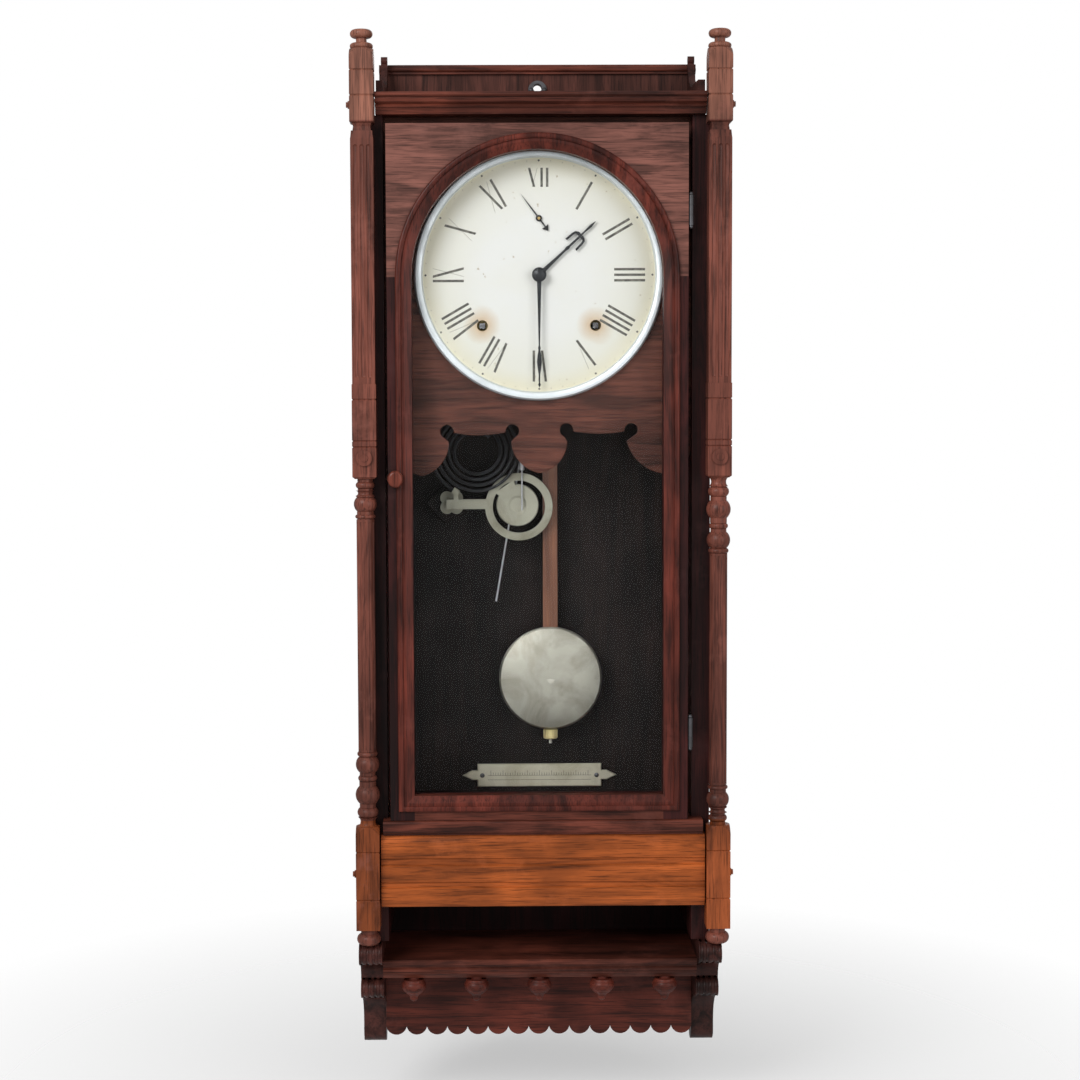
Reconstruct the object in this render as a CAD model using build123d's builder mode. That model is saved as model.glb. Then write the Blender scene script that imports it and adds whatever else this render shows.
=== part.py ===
from build123d import *
import os
from math import atan2, cos, degrees, dist, pi, radians, sin, sqrt

# Spring-driven wall clock with a glazed door, a coil gong and a wooden-rod pendulum.
# Millimetres. The origin is the middle of the hanging hole on the wall plane: X to the right,
# Z up, and -Y out into the room. A "depth" is a distance in front of the wall.

os.makedirs("parts", exist_ok=True)

# Case carcass
case_shift = -2.6
case_inner_half = 136.0
side_thickness = 16.0
side_depth = 119.0
back_thickness = 12.0
run = 0.05
slack = 0.3

# Posts
post_size = 21.0
post_x = 155.9
post_depth = 129.5
post_recess = 0.5
reed_count = 12
reed_depth = 0.6
boss_radius = 7.0
boss_height = 2.0
button_radius = 3.4
button_height = 3.3

# Heights of the case, from the hanging hole
crest_top = 21.0
crest_bottom = 12.4
crest_half = 146.5
cornice_half = 144.6
cornice_top = -20.9
cornice_bottom = -39.4
cornice_depth = 136.0
door_top = -48.1
door_bottom = -661.2
sill_top = -661.6
sill_bottom = -674.7
sill_half = 142.2
sill_depth = 136.0
base_half = 144.2
base_depth = 134.0
base_bottom = -739.7
bracket_top = -773.7
shelf_top = -792.2
shelf_bottom = -810.0
shelf_depth = 118.0
apron_depth = 70.0
apron_thickness = 8.0
apron_bottom = -875.2
apron_scallops = 15
apron_valley = 7.5
drop_depth = 106.0
drop_spacing = 56.9
drop_radius = 11.2
drop_height = 22.8

# Brackets
bracket_width = 20.6
bracket_tip = -885.0
bracket_flutes = 4
flute_radius = 1.5

# Door
door_width = 264.1
door_middle = -3.45
door_front = 134.0
door_thickness = 18.0
glass_half = 110.5
glass_bottom = -639.0
arch_z = -181.0
moulding_width = 14.2
moulding_height = 4.0
bead_width = 5.4
rebate = 4.0
glass_depth = 124.0
glass_thickness = 3.0
bead_thickness = 4.0
hinge_x = 131.0
hinge_depth = 131.0
hinge_knuckle = 2.3
hinge_pin = 1.2
hinge_leaf = 1.2
hinge_length = 26.1
hinge_heights = (-123.65, -584.0)
latch_place = (-128.8, -357.4)
latch_width = 13.6
latch_height = 15.0
latch_projection = 6.0
latch_spindle = 2.0
latch_reach = 9.3

# Dial
dial_place = (-1.5, -178.0)
dial_board_depth = 104.0
dial_board_thickness = 7.0
dial_board_bottom = -267.0
dial_plate_thickness = 2.0
dial_ring_outer = 110.9
dial_ring_inner = 103.2
dial_ring_height = 6.0
seconds_rise = 50.0
winding_spread = 50.35
winding_drop = 44.6
winding_hole = 4.9
hour_length = 69.5
hour_angle = 47.0
minute_length = 99.6
seconds_length = 27.0
seconds_tail = 14.0
seconds_angle = -37.0
hour_depth = 108.0
minute_depth = 112.0
seconds_depth = 107.0
hand_thickness = 1.0

# Movement frame
front_plate_depth = 82.0
back_plate_depth = 48.0
plate_thickness = 2.0
plate_middle = -1.65
plate_half = 82.0
plate_top = -84.0
plate_bottom = -262.0
pillar_radius = 4.0
pillar_spread = 76.0
pillar_heights = (-92.0, -256.0)
arbor_radius = 1.5
pivot_radius = 1.0
pivot_shoulder = 0.3

# Trains: module and teeth of each mesh
great_module = 1.2
great_teeth = 60
great_pinion_teeth = 10
second_module = 0.9
second_teeth = 54
centre_pinion_teeth = 12
centre_module = 0.8
centre_teeth = 60
third_pinion_teeth = 8
third_module = 0.7
third_teeth = 64
escape_pinion_teeth = 8
escape_teeth = 45
escape_radius = 22.0
cannon_module = 5.0 / 6.0
cannon_teeth = 12
minute_wheel_teeth = 36
hour_module = 0.8
minute_pinion_teeth = 10
hour_teeth = 40
barrel_radius = 24.0
winding_arbor_radius = 3.0
winding_square = 5.0
hour_pipe_radius = 4.6
cannon_pipe_radius = 3.3

# Pendulum
swing_place = (10.0, -98.0)
rod_width = 13.4
rod_depth = 34.0
rod_thickness = 5.0
rod_top = -108.0
rod_bottom = -508.0
bob_z = -547.7
bob_radius = 47.9
bob_front = 42.0
bob_back = 30.0
bob_rim = 35.5
bob_travel = 6.0
stem_radius = 1.5
stem_bottom = -609.5
nut_radius = 6.7
nut_height = 8.9

# Gong, hammer and trip
coil_place = (-59.2, -336.7)
coil_end_radius = 40.0
coil_pitch = 5.2
coil_half_turns = 9
coil_end_angle = 235.0
coil_wire = 1.4
coil_depth = 44.2
ring_place = (-19.0, -387.0)
ring_outer = 31.2
ring_inner = 24.2
ring_depth = 42.0
ring_thickness = 3.5
disc_place = (-20.3, -385.6)
disc_radius = 19.6
foot_place = (-81.4, -383.6)
foot_radius = 6.2
block_place = (-87.0, -384.0)
block_half = 20.0
block_depth = 26.0
hammer_place = (-12.0, -240.0)
hammer_head = (-16.2, -344.5)
hammer_depth = 44.5
trip_place = (-0.8, -246.0)
trip_end = (-40.5, -475.2)
trip_depth = 36.3

# Beat scale and hanger
scale_z = -643.0
scale_half = 58.7
scale_height = 21.7
scale_thickness = 2.5
scale_finial = 72.8
hanger_half = 8.5
hanger_hole = 4.0
hanger_thickness = 2.0
screw_head = 2.2
screw_shank = 1.0
screw_length = 6.0
hanger_screw_x = 6.25
hanger_screw_z = -2.0
scale_screw_x = 58.1 - 4.0

# Places that follow
inner_left = case_shift - case_inner_half
inner_right = case_shift + case_inner_half
outer_left = inner_left - side_thickness
outer_right = inner_right + side_thickness
post_front = post_depth + post_size / 2
post_half = post_size / 2
door_left = door_middle - door_width / 2
door_right = door_middle + door_width / 2
door_back = door_front - door_thickness
seconds_place = (dial_place[0], dial_place[1] + seconds_rise)
going_place = (plate_middle + winding_spread, dial_place[1] - winding_drop)
strike_place = (plate_middle - winding_spread, dial_place[1] - winding_drop)
bracket_left_x = inner_left - side_thickness
bracket_right_x = inner_right + side_thickness


def front(depth):
    """The plane parallel to the wall at a depth, seen from the room: its X is X and its Y is Z."""
    return Plane.XZ.offset(depth)


def lathe(x, depth):
    """The upright plane through a turning's own axis: its X is the radius and its Y is Z."""
    return Plane(origin=(x, -depth, 0), x_dir=(1, 0, 0), z_dir=(0, -1, 0))


def face_lathe(place):
    """The level plane through an axis that points at the wall: its X is the radius, its Y is Y."""
    return Plane(origin=(place[0], 0, place[1]), x_dir=(1, 0, 0), z_dir=(0, 0, 1))


def slab(xs, depths, zs, mode=Mode.ADD):
    """Fill or cut the box between two limits each way."""
    middle = (sum(xs) / 2, -sum(depths) / 2, sum(zs) / 2)
    with Locations(middle):
        Box(abs(xs[1] - xs[0]), abs(depths[1] - depths[0]), abs(zs[1] - zs[0]), mode=mode)


def pin(place, depths, radius, mode=Mode.ADD):
    """Fill or cut a cylinder that points at the wall, between two depths."""
    with Locations(Location((place[0], -sum(depths) / 2, place[1]), (90, 0, 0))):
        Cylinder(radius, abs(depths[1] - depths[0]), mode=mode)


def side_profile(points):
    """The face inside an outline of (depth, z) points, in the plane of the clock's side."""
    with BuildSketch(Plane.YZ) as sketch:
        with BuildLine():
            Polyline(*[(-depth, z) for depth, z in points], close=True)
        make_face()
    return sketch.sketch


def moulding(points, xs):
    """A board or moulding of one side profile, between two places across the clock."""
    face = side_profile(points).moved(Location((xs[0], 0, 0)))
    extrude(face, amount=xs[1] - xs[0], dir=(1, 0, 0))


def toward(place, angle, distance):
    """The place at a distance and an angle from another, in the plane of the dial."""
    return (place[0] + distance * cos(radians(angle)), place[1] + distance * sin(radians(angle)))


def cap_rise(radius, rise, x):
    """How far a round cap of an edge radius and a rise stands up at a distance x from its axis."""
    sphere = (radius ** 2 + rise ** 2) / (2 * rise)
    return rise - sphere + sqrt(sphere ** 2 - x ** 2)


def save(part, label):
    """Name a finished piece and write it."""
    part.label = label
    export_step(part, f"parts/{label}.step")


# Backboard, with the hanging hole and the pilot holes of the screws that enter it
back_bottom = apron_bottom + 15
screw_places = [(-hanger_screw_x, hanger_screw_z), (hanger_screw_x, hanger_screw_z)]
scale_screws = [(-scale_screw_x, scale_z), (scale_screw_x, scale_z)]

with BuildPart() as backboard:
    slab((inner_left, inner_right), (0, back_thickness), (cornice_bottom, bracket_top))
    slab((-crest_half, crest_half), (0, back_thickness), (crest_bottom, cornice_bottom))
    slab((bracket_left_x + bracket_width / 2, bracket_right_x - bracket_width / 2),
         (0, back_thickness), (bracket_top, back_bottom))
    pin((0, 0), (0, back_thickness), hanger_hole, mode=Mode.SUBTRACT)
    for place in screw_places + scale_screws:
        pin(place, (back_thickness - screw_length, back_thickness), screw_shank + run, mode=Mode.SUBTRACT)
save(backboard.part, "backboard")

# Side boards, from the cornice down to the brackets
for label, xs in (("side_left", (outer_left, inner_left)), ("side_right", (inner_right, outer_right))):
    with BuildPart() as side_board:
        slab(xs, (0, side_depth), (cornice_bottom, bracket_top))
    save(side_board.part, label)

# Cornice: bead, ovolo and lower bead, stepping back as it comes down
cornice_profile = [
    (back_thickness, cornice_top),
    (cornice_depth - 1.5, cornice_top),
    (cornice_depth, cornice_top - 1.3),
    (cornice_depth, cornice_top - 3.0),
    (cornice_depth - 1.5, cornice_top - 4.3),
    (cornice_depth - 3.0, cornice_top - 4.3),
    (cornice_depth - 3.0, cornice_top - 6.0),
    (cornice_depth - 1.5, cornice_top - 6.0),
    (cornice_depth - 2.6, cornice_top - 8.6),
    (cornice_depth - 6.0, cornice_top - 10.3),
    (cornice_depth - 5.0, cornice_top - 11.6),
    (cornice_depth - 6.0, cornice_top - 12.9),
    (cornice_depth - 8.0, cornice_top - 12.9),
    (cornice_depth - 10.0, cornice_bottom),
    (back_thickness, cornice_bottom),
]
with BuildPart() as cornice_board:
    moulding(cornice_profile, (-cornice_half, cornice_half))
save(cornice_board.part, "cornice_board")

# Sill: a rounded nose in front of the sides, and a tongue between them
with BuildPart() as sill_board:
    slab((-sill_half, sill_half), (side_depth, sill_depth), (sill_top, sill_bottom + 1.4))
    nose = sill_board.faces().sort_by(Axis.Y)[0].edges().filter_by(Axis.X)
    fillet(nose, radius=2.5)
    slab((-sill_half, sill_half), (side_depth, sill_depth - 3.0), (sill_bottom + 1.4, sill_bottom))
    slab((inner_left, inner_right), (back_thickness, side_depth), (sill_top, sill_bottom))
save(sill_board.part, "sill_board")

# Crest rail: a moulded cap that stands on the backboard
crest_front = back_thickness + 5.0
with BuildPart() as crest_rail:
    moulding([
        (0, crest_bottom), (crest_front - 2.0, crest_bottom), (crest_front - 2.0, crest_bottom + 1.8),
        (crest_front - 0.6, crest_bottom + 2.4), (crest_front, crest_bottom + 3.4),
        (crest_front - 0.6, crest_bottom + 4.6), (crest_front - 2.0, crest_bottom + 5.0),
        (crest_front - 2.0, crest_top - 1.0), (crest_front - 3.0, crest_top), (0, crest_top),
    ], (-crest_half, crest_half))
save(crest_rail.part, "crest_rail")

# Gallery cheeks on the cornice: a small round head at the back and a hollow sweep to the post
cheek_thickness = 6.0
cheek_back = crest_front
cheek_head = (cheek_back + 4.5, 23.5)
cheek_head_radius = 3.6
cheek_neck_z = cheek_head[1] - 3.0
with BuildPart() as gallery_scrolls:
    with BuildSketch(Plane.YZ) as cheek:
        with BuildLine():
            Polyline((-side_depth, cornice_top), (-cheek_back, cornice_top), (-cheek_back, cheek_neck_z),
                     (-cheek_head[0] - 2.0, cheek_neck_z))
            ThreePointArc((-cheek_head[0] - 2.0, cheek_neck_z), (-cheek_back - 22.0, 0.5),
                          (-cheek_back - 52.0, -6.0))
            Line((-cheek_back - 52.0, -6.0), (-side_depth, -9.0))
            Line((-side_depth, -9.0), (-side_depth, cornice_top))
        make_face()
        with Locations((-cheek_head[0], cheek_head[1])):
            Circle(cheek_head_radius)
    for x in (-cornice_half + 0.3, cornice_half - 0.3 - cheek_thickness):
        extrude(cheek.sketch.moved(Location((x, 0, 0))), amount=cheek_thickness, dir=(1, 0, 0))
save(gallery_scrolls.part, "gallery_scrolls")

# Posts. The square parts are one half-width profile, cut both ways; the turned parts are a lathe
# outline of beads, hollows and straight lengths, listed down the post.
block_top = 16.0
block_shoulder = 9.2
upper_block_bottom = -47.2
fluted_top = -61.7
fluted_bottom = -274.2
middle_block_bottom = -357.2
turned_bottom = -666.5
lower_block_bottom = -759.2
post_bottom = bracket_top
groove_depth = 0.8
flute_width = 2.1
flute_spread = 5.6
shaft_radius = 7.9

turning = [
    ("straight", 2.6, 6.8), ("bead", 6.1, 8.3), ("straight", 1.8, 6.6), ("hollow", 4.4, 6.4),
    ("straight", 0.9, 8.2), ("bead", 13.1, 10.1), ("straight", 2.7, 7.4), ("bead", 3.5, 8.9),
    ("straight", 0.9, 7.2), ("straight", 206.2, shaft_radius), ("bead", 4.5, 9.0), ("bead", 14.3, 10.4),
    ("straight", 2.7, 7.0), ("bead", 5.3, 8.4), ("straight", 4.5, 7.4), ("bead", 15.2, 10.8),
    ("straight", 3.6, 7.2), ("bead", 9.0, 9.3), ("hollow", 8.0, 6.6),
]


def turned_outline(steps, top, plane):
    """Half of a turning's outline: each step is a kind, a length down the axis and a radius."""
    with BuildSketch(plane) as sketch:
        with BuildLine():
            z = top
            start = (0, top)
            for kind, length, radius in steps:
                side = radius
                if kind == "bead":
                    side = radius - min(0.42 * length, 0.3 * radius)
                if kind == "hollow":
                    side = radius + min(0.42 * length, 0.3 * radius)
                Line(start, (side, z))
                end = (side, z - length)
                if kind == "straight":
                    Line((side, z), end)
                else:
                    ThreePointArc((side, z), (radius, z - length / 2), end)
                z -= length
                start = end
            Line(start, (0, z))
            Line((0, z), (0, top))
        make_face()
    return sketch.sketch


def square_outline(points, plane):
    """A square part's outline from its (z, half-width) points, down the post."""
    with BuildSketch(plane) as sketch:
        with BuildLine():
            right = [(half, z) for z, half in points]
            left = [(-half, z) for z, half in reversed(points)]
            Polyline(*right, *left, close=True)
        make_face()
    return sketch.sketch


def groove(z, width):
    """The three points of a V groove round a square part."""
    return [(z + width / 2, post_half), (z, post_half - groove_depth), (z - width / 2, post_half)]


upper_square = [
    (block_top, post_half), *groove(-2.7, 2.0), *groove(-24.5, 2.0), (upper_block_bottom, post_half),
    (upper_block_bottom - 1.0, 8.2), (upper_block_bottom - 4.0, 7.4), (upper_block_bottom - 7.7, 8.0),
    (upper_block_bottom - 7.7, 9.2), (upper_block_bottom - 13.7, 9.8), (fluted_top, post_half - post_recess),
    (fluted_bottom, post_half - post_recess), (fluted_bottom, post_half), (-286.4, post_half),
    *groove(-287.7, 2.0), *groove(-323.9, 1.6), *groove(-329.2, 1.6), (-355.4, post_half),
    (middle_block_bottom, post_half - 2.2),
]
lower_square = [
    (turned_bottom, post_half), *groove(-689.0, 2.0), *groove(-732.0, 2.0), (lower_block_bottom, post_half),
]
pommel_rise = block_top - block_shoulder
corner_radius = post_half * sqrt(2)
turning_length = sum(length for _, length, _ in turning)
turning_end = middle_block_bottom - turning_length


def square_part(x, points, rounded_top):
    """Add one square length of a post, its top end turned to an arch on each face."""
    plane = lathe(x, post_depth)
    with BuildPart(mode=Mode.PRIVATE) as square:
        extrude(square_outline(points, plane), amount=post_size, both=True)
        across = Plane(origin=(x, -post_depth, 0), x_dir=(0, 1, 0), z_dir=(1, 0, 0))
        extrude(square_outline(points, across), amount=post_size, both=True, mode=Mode.INTERSECT)
        if rounded_top:
            top = points[0][0]
            bottom = points[-1][0]
            with BuildSketch(plane) as turned_top:
                with BuildLine():
                    Polyline((0, bottom), (corner_radius + 1, bottom), (corner_radius + 1, top - pommel_rise),
                             (corner_radius, top - pommel_rise), (post_half, top), (0, top), close=True)
                make_face()
            revolve(turned_top.sketch, axis=Axis((x, -post_depth, 0), (0, 0, 1)), mode=Mode.INTERSECT)
    return square.part


def flute_cutter(length):
    """A rod with round ends, the shape of one flute's cutter."""
    with BuildPart(mode=Mode.PRIVATE) as cutter:
        Cylinder(flute_width, length)
        with Locations((0, 0, length / 2), (0, 0, -length / 2)):
            Sphere(flute_width)
    return cutter.part


flute_length = fluted_top - fluted_bottom - 14.0
flute_middle = (fluted_top + fluted_bottom) / 2
flute_sink = post_half - post_recess + flute_width - 1.1
shaft_length = turning[9][1]

for label, side in (("post_left", -1), ("post_right", 1)):
    x = side * post_x
    steps = turning if side < 0 else turning[::-1]
    passed = 9 if side < 0 else len(turning) - 10
    reeds_top = middle_block_bottom - sum(length for _, length, _ in steps[:passed])
    with BuildPart() as post:
        add(square_part(x, upper_square, True))
        add(square_part(x, lower_square, True))
        cutter = flute_cutter(flute_length)
        for sideways in (-flute_spread, 0, flute_spread):
            add(cutter.moved(Location((x + sideways, -post_depth - flute_sink, flute_middle))),
                mode=Mode.SUBTRACT)
            add(cutter.moved(Location((x + side * flute_sink, -post_depth + sideways, flute_middle))),
                mode=Mode.SUBTRACT)
        revolve(turned_outline(steps, middle_block_bottom, lathe(x, post_depth)),
                axis=Axis((x, -post_depth, 0), (0, 0, 1)))
        with Locations((x, -post_depth, (turning_end + turned_bottom) / 2)):
            Cylinder(7.0, abs(turning_end - turned_bottom) + 2)
        foot = [("straight", 4.5, 7.0), ("bead", lower_block_bottom - post_bottom - 4.5, 10.6)]
        revolve(turned_outline(foot, lower_block_bottom, lathe(x, post_depth)),
                axis=Axis((x, -post_depth, 0), (0, 0, 1)))
        with Locations((x, -post_depth, reeds_top - shaft_length / 2)):
            with PolarLocations(shaft_radius + reed_depth, reed_count):
                Cylinder(1.2, shaft_length - 4.0, mode=Mode.SUBTRACT)
    save(post.part, label)

# Mushroom finials on the posts
finial_steps = [
    ("bead", 7.2, 9.9), ("straight", 4.4, 4.7), ("bead", 5.0, 10.1),
]
finial_top = block_top + sum(length for _, length, _ in finial_steps)
with BuildPart() as post_finials:
    for side in (-1, 1):
        x = side * post_x
        revolve(turned_outline(finial_steps, finial_top, lathe(x, post_depth)),
                axis=Axis((x, -post_depth, 0), (0, 0, 1)))
save(post_finials.part, "post_finials")

# Rosettes on the front of the posts, and side buttons on their outer faces
rosette_z = -338.8
button_heights = (-31.8, -710.0)
with BuildPart() as post_bosses:
    for side in (-1, 1):
        x = side * post_x
        pin((x, rosette_z), (post_front, post_front + boss_height), boss_radius)
        pin((x, rosette_z), (post_front + boss_height, post_front + boss_height + 0.8), 3.2)
        for z in button_heights:
            with Locations(Location((x + side * (post_half + 0.9), -post_depth, z), (0, 90, 0))):
                Cylinder(button_radius, 1.8)
            with Locations(Location((x + side * (post_half + 2.55), -post_depth, z), (0, 90, 0))):
                Cylinder(button_radius - 1.0, 1.5)
save(post_bosses.part, "post_bosses")

# Base panel, with two sunk bands across its front
band_depth = 1.6
with BuildPart() as base_panel:
    moulding([
        (side_depth, sill_bottom), (base_depth - 4.0, sill_bottom), (base_depth, sill_bottom - 6.3),
        (base_depth, -695.4), (base_depth - band_depth, -696.4), (base_depth - band_depth, -701.6),
        (base_depth, -702.6), (base_depth, -717.0), (base_depth - band_depth, -718.0),
        (base_depth - band_depth, -721.5), (base_depth, -722.5), (base_depth, base_bottom + 6.4),
        (base_depth - 3.0, base_bottom), (side_depth, base_bottom),
    ], (-base_half, base_half))
save(base_panel.part, "base_panel")

# Console shelf between the brackets
shelf_left = bracket_left_x + bracket_width / 2
shelf_right = bracket_right_x - bracket_width / 2
with BuildPart() as console_shelf:
    moulding([
        (back_thickness, shelf_top), (shelf_depth - 1.2, shelf_top), (shelf_depth, shelf_top - 1.2),
        (shelf_depth, shelf_top - 4.5), (shelf_depth - 1.6, shelf_top - 4.5),
        (shelf_depth - 3.6, shelf_top - 8.2), (shelf_depth - 2.4, shelf_top - 9.2),
        (shelf_depth - 2.4, shelf_top - 11.0), (shelf_depth - 4.0, shelf_top - 11.9),
        (shelf_depth - 4.0, shelf_top - 13.7), (shelf_depth - 7.0, shelf_bottom), (back_thickness, shelf_bottom),
    ], (shelf_left, shelf_right))
save(console_shelf.part, "console_shelf")

# Acorn drops under the shelf
with BuildPart() as shelf_drops:
    for i in range(5):
        x = case_shift - 0.5 + (i - 2) * drop_spacing
        z = shelf_bottom
        plane = lathe(x, drop_depth)
        with BuildSketch(plane) as acorn:
            with BuildLine():
                Polyline((0, z), (5.0, z), (5.0, z - 2.4), (9.0, z - 2.4), (9.6, z - 4.2))
                ThreePointArc((9.6, z - 4.2), (drop_radius, z - 8.0), (9.0, z - 13.0))
                Spline((9.0, z - 13.0), (4.4, z - 17.4), (3.6, z - 20.6), tangents=[(-0.5, -1), (-0.1, -1)])
                tip_rise = drop_height - 20.6
                ThreePointArc((3.6, z - 20.6), (2.0, z - 20.6 - cap_rise(3.6, tip_rise, 2.0)), (0, z - drop_height))
                Line((0, z - drop_height), (0, z))
            make_face()
        revolve(acorn.sketch, axis=Axis((x, -drop_depth, 0), (0, 0, 1)))
save(shelf_drops.part, "shelf_drops")

# Scalloped apron behind the drops
apron_left = shelf_left + slack
apron_right = shelf_right - slack
scallop_pitch = (apron_right - apron_left) / apron_scallops
with BuildPart() as scalloped_apron:
    with BuildSketch(front(apron_depth)):
        with BuildLine():
            valley = apron_bottom + apron_valley
            Line((apron_left, shelf_bottom), (apron_left, valley))
            for i in range(apron_scallops):
                start = apron_left + i * scallop_pitch
                ThreePointArc((start, valley), (start + scallop_pitch / 2, apron_bottom),
                              (start + scallop_pitch, valley))
            Line((apron_right, valley), (apron_right, shelf_bottom))
            Line((apron_right, shelf_bottom), (apron_left, shelf_bottom))
        make_face()
    extrude(amount=-apron_thickness)
save(scalloped_apron.part, "scalloped_apron")

# Brackets: two fluted rolls one above the other, then a hollow sweep back to the tip
roll_upper = (126.0, bracket_top - 9.95)
roll_upper_radius = 9.95
roll_lower = (100.0, -822.2)
roll_lower_radius = 8.8
ledge_z = -811.7
with BuildPart() as brackets:
    with BuildSketch(Plane.YZ) as scroll:
        with BuildLine():
            Line((0, bracket_top), (-roll_upper[0], bracket_top))
            ThreePointArc((-roll_upper[0], bracket_top), (-roll_upper[0] - roll_upper_radius, roll_upper[1]),
                          (-roll_upper[0], bracket_top - 2 * roll_upper_radius))
            Line((-roll_upper[0], bracket_top - 2 * roll_upper_radius), (-118.0, -796.0))
            ThreePointArc((-118.0, -796.0), (-107.0, -802.0), (-103.0, ledge_z))
            Line((-103.0, ledge_z), (-roll_lower[0] - 2.0, roll_lower[1] + roll_lower_radius))
            Line((-roll_lower[0] - 2.0, roll_lower[1] + roll_lower_radius),
                 (-roll_lower[0], roll_lower[1] + roll_lower_radius))
            ThreePointArc((-roll_lower[0], roll_lower[1] + roll_lower_radius),
                          (-roll_lower[0] - roll_lower_radius, roll_lower[1]),
                          (-roll_lower[0], roll_lower[1] - roll_lower_radius))
            Line((-roll_lower[0], roll_lower[1] - roll_lower_radius), (-94.0, -833.0))
            ThreePointArc((-94.0, -833.0), (-72.0, -845.0), (-64.0, -868.0))
            ThreePointArc((-64.0, -868.0), (-62.0, -880.0), (-54.0, bracket_tip))
            ThreePointArc((-54.0, bracket_tip), (-46.0, -882.0), (-42.0, -874.0))
            ThreePointArc((-42.0, -874.0), (-24.0, -852.0), (0, -846.0))
            Line((0, -846.0), (0, bracket_top))
        make_face()
    for x in (bracket_left_x, bracket_right_x):
        extrude(scroll.sketch.moved(Location((x - bracket_width / 2, 0, 0))), amount=bracket_width,
                dir=(1, 0, 0))
        for depth, z, radius in ((*roll_upper, roll_upper_radius), (*roll_lower, roll_lower_radius)):
            for i in range(bracket_flutes):
                across = (i - (bracket_flutes - 1) / 2) * bracket_width / bracket_flutes
                with Locations(Location((x + across, -depth, z), (0, 90, 0))):
                    Torus(radius + 0.5, flute_radius, mode=Mode.SUBTRACT)
save(brackets.part, "brackets")

# Hanger plate on the backboard's front, with a round top
with BuildPart() as hanger_plate:
    with BuildSketch(front(back_thickness)):
        with Locations((0, hanger_screw_z)):
            Circle(hanger_half)
        with Locations((0, hanger_screw_z - 7.5)):
            Rectangle(2 * hanger_half, 15.0)
        Circle(hanger_hole, mode=Mode.SUBTRACT)
        with Locations(*screw_places):
            Circle(screw_shank + run, mode=Mode.SUBTRACT)
    extrude(amount=hanger_thickness)
save(hanger_plate.part, "hanger_plate")

# Round-head screws of the hanger and of the beat scale
with BuildPart() as round_head_screws:
    for places, seat in ((screw_places, back_thickness + hanger_thickness),
                         (scale_screws, back_thickness + scale_thickness)):
        for place in places:
            with BuildSketch(face_lathe(place)) as screw:
                with BuildLine():
                    Polyline((0, -seat - 1.4), (1.0, -seat - 1.3), (screw_head, -seat - 0.3),
                             (screw_head, -seat), (screw_shank, -seat),
                             (screw_shank, -back_thickness + screw_length - 0.5),
                             (0, -back_thickness + screw_length - 0.5), close=True)
                make_face()
            revolve(screw.sketch, axis=Axis((place[0], 0, place[1]), (0, 1, 0)))
save(round_head_screws.part, "round_head_screws")

# Beat scale: a thin plate with pointed ends
with BuildPart() as beat_scale:
    with BuildSketch(front(back_thickness)):
        with Locations((0, scale_z)):
            Rectangle(2 * scale_half, scale_height)
        for side in (-1, 1):
            with BuildLine():
                Polyline((side * scale_half, scale_z + 4.5), (side * (scale_half + 5.0), scale_z + 4.5),
                         (side * scale_finial, scale_z), (side * (scale_half + 5.0), scale_z - 4.5),
                         (side * scale_half, scale_z - 4.5), close=True)
            make_face()
        with Locations(*scale_screws):
            Circle(screw_shank + run, mode=Mode.SUBTRACT)
    extrude(amount=scale_thickness)
    rim = beat_scale.faces().sort_by(Axis.Y)[0].outer_wire().edges()
    chamfer(rim, length=0.8)
save(beat_scale.part, "beat_scale")

# Dial board, behind the dial, and the shaped apron board below it
seconds_arbor = 1.2
with BuildPart() as dial_board:
    with BuildSketch(front(dial_board_depth)):
        width = inner_right - inner_left
        height = cornice_bottom - dial_board_bottom
        with Locations(((inner_left + inner_right) / 2, (cornice_bottom + dial_board_bottom) / 2)):
            Rectangle(width, height)
        with Locations(dial_place):
            Circle(hour_pipe_radius + 2.0, mode=Mode.SUBTRACT)
        with Locations(seconds_place):
            Circle(seconds_arbor + 2.0, mode=Mode.SUBTRACT)
        with Locations(going_place, strike_place):
            Circle(winding_hole + 2.0, mode=Mode.SUBTRACT)
    extrude(amount=-dial_board_thickness)
save(dial_board.part, "dial_board")

lobe_tips = [(-106.2, -356.0), (-1.0, -353.7), (108.8, -354.5)]
cusps = [(-82.4, -326.0), (-26.7, -325.8), (23.3, -325.7), (76.8, -325.5)]
notches = [(-84.0, -316.5), (-25.6, -316.2), (22.7, -315.4), (80.5, -315.5)]
notch_radius = 6.1
lobe_sagitta = 6.6
lobe_side_z = (-336.0, -338.0)


def bulge(start, end, sagitta):
    """The arc from start to end that bulges to the right of the way along it."""
    span = dist(start, end)
    across = ((end[1] - start[1]) / span, -(end[0] - start[0]) / span)
    middle = ((start[0] + end[0]) / 2 + sagitta * across[0], (start[1] + end[1]) / 2 + sagitta * across[1])
    ThreePointArc(start, middle, end)


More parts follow.
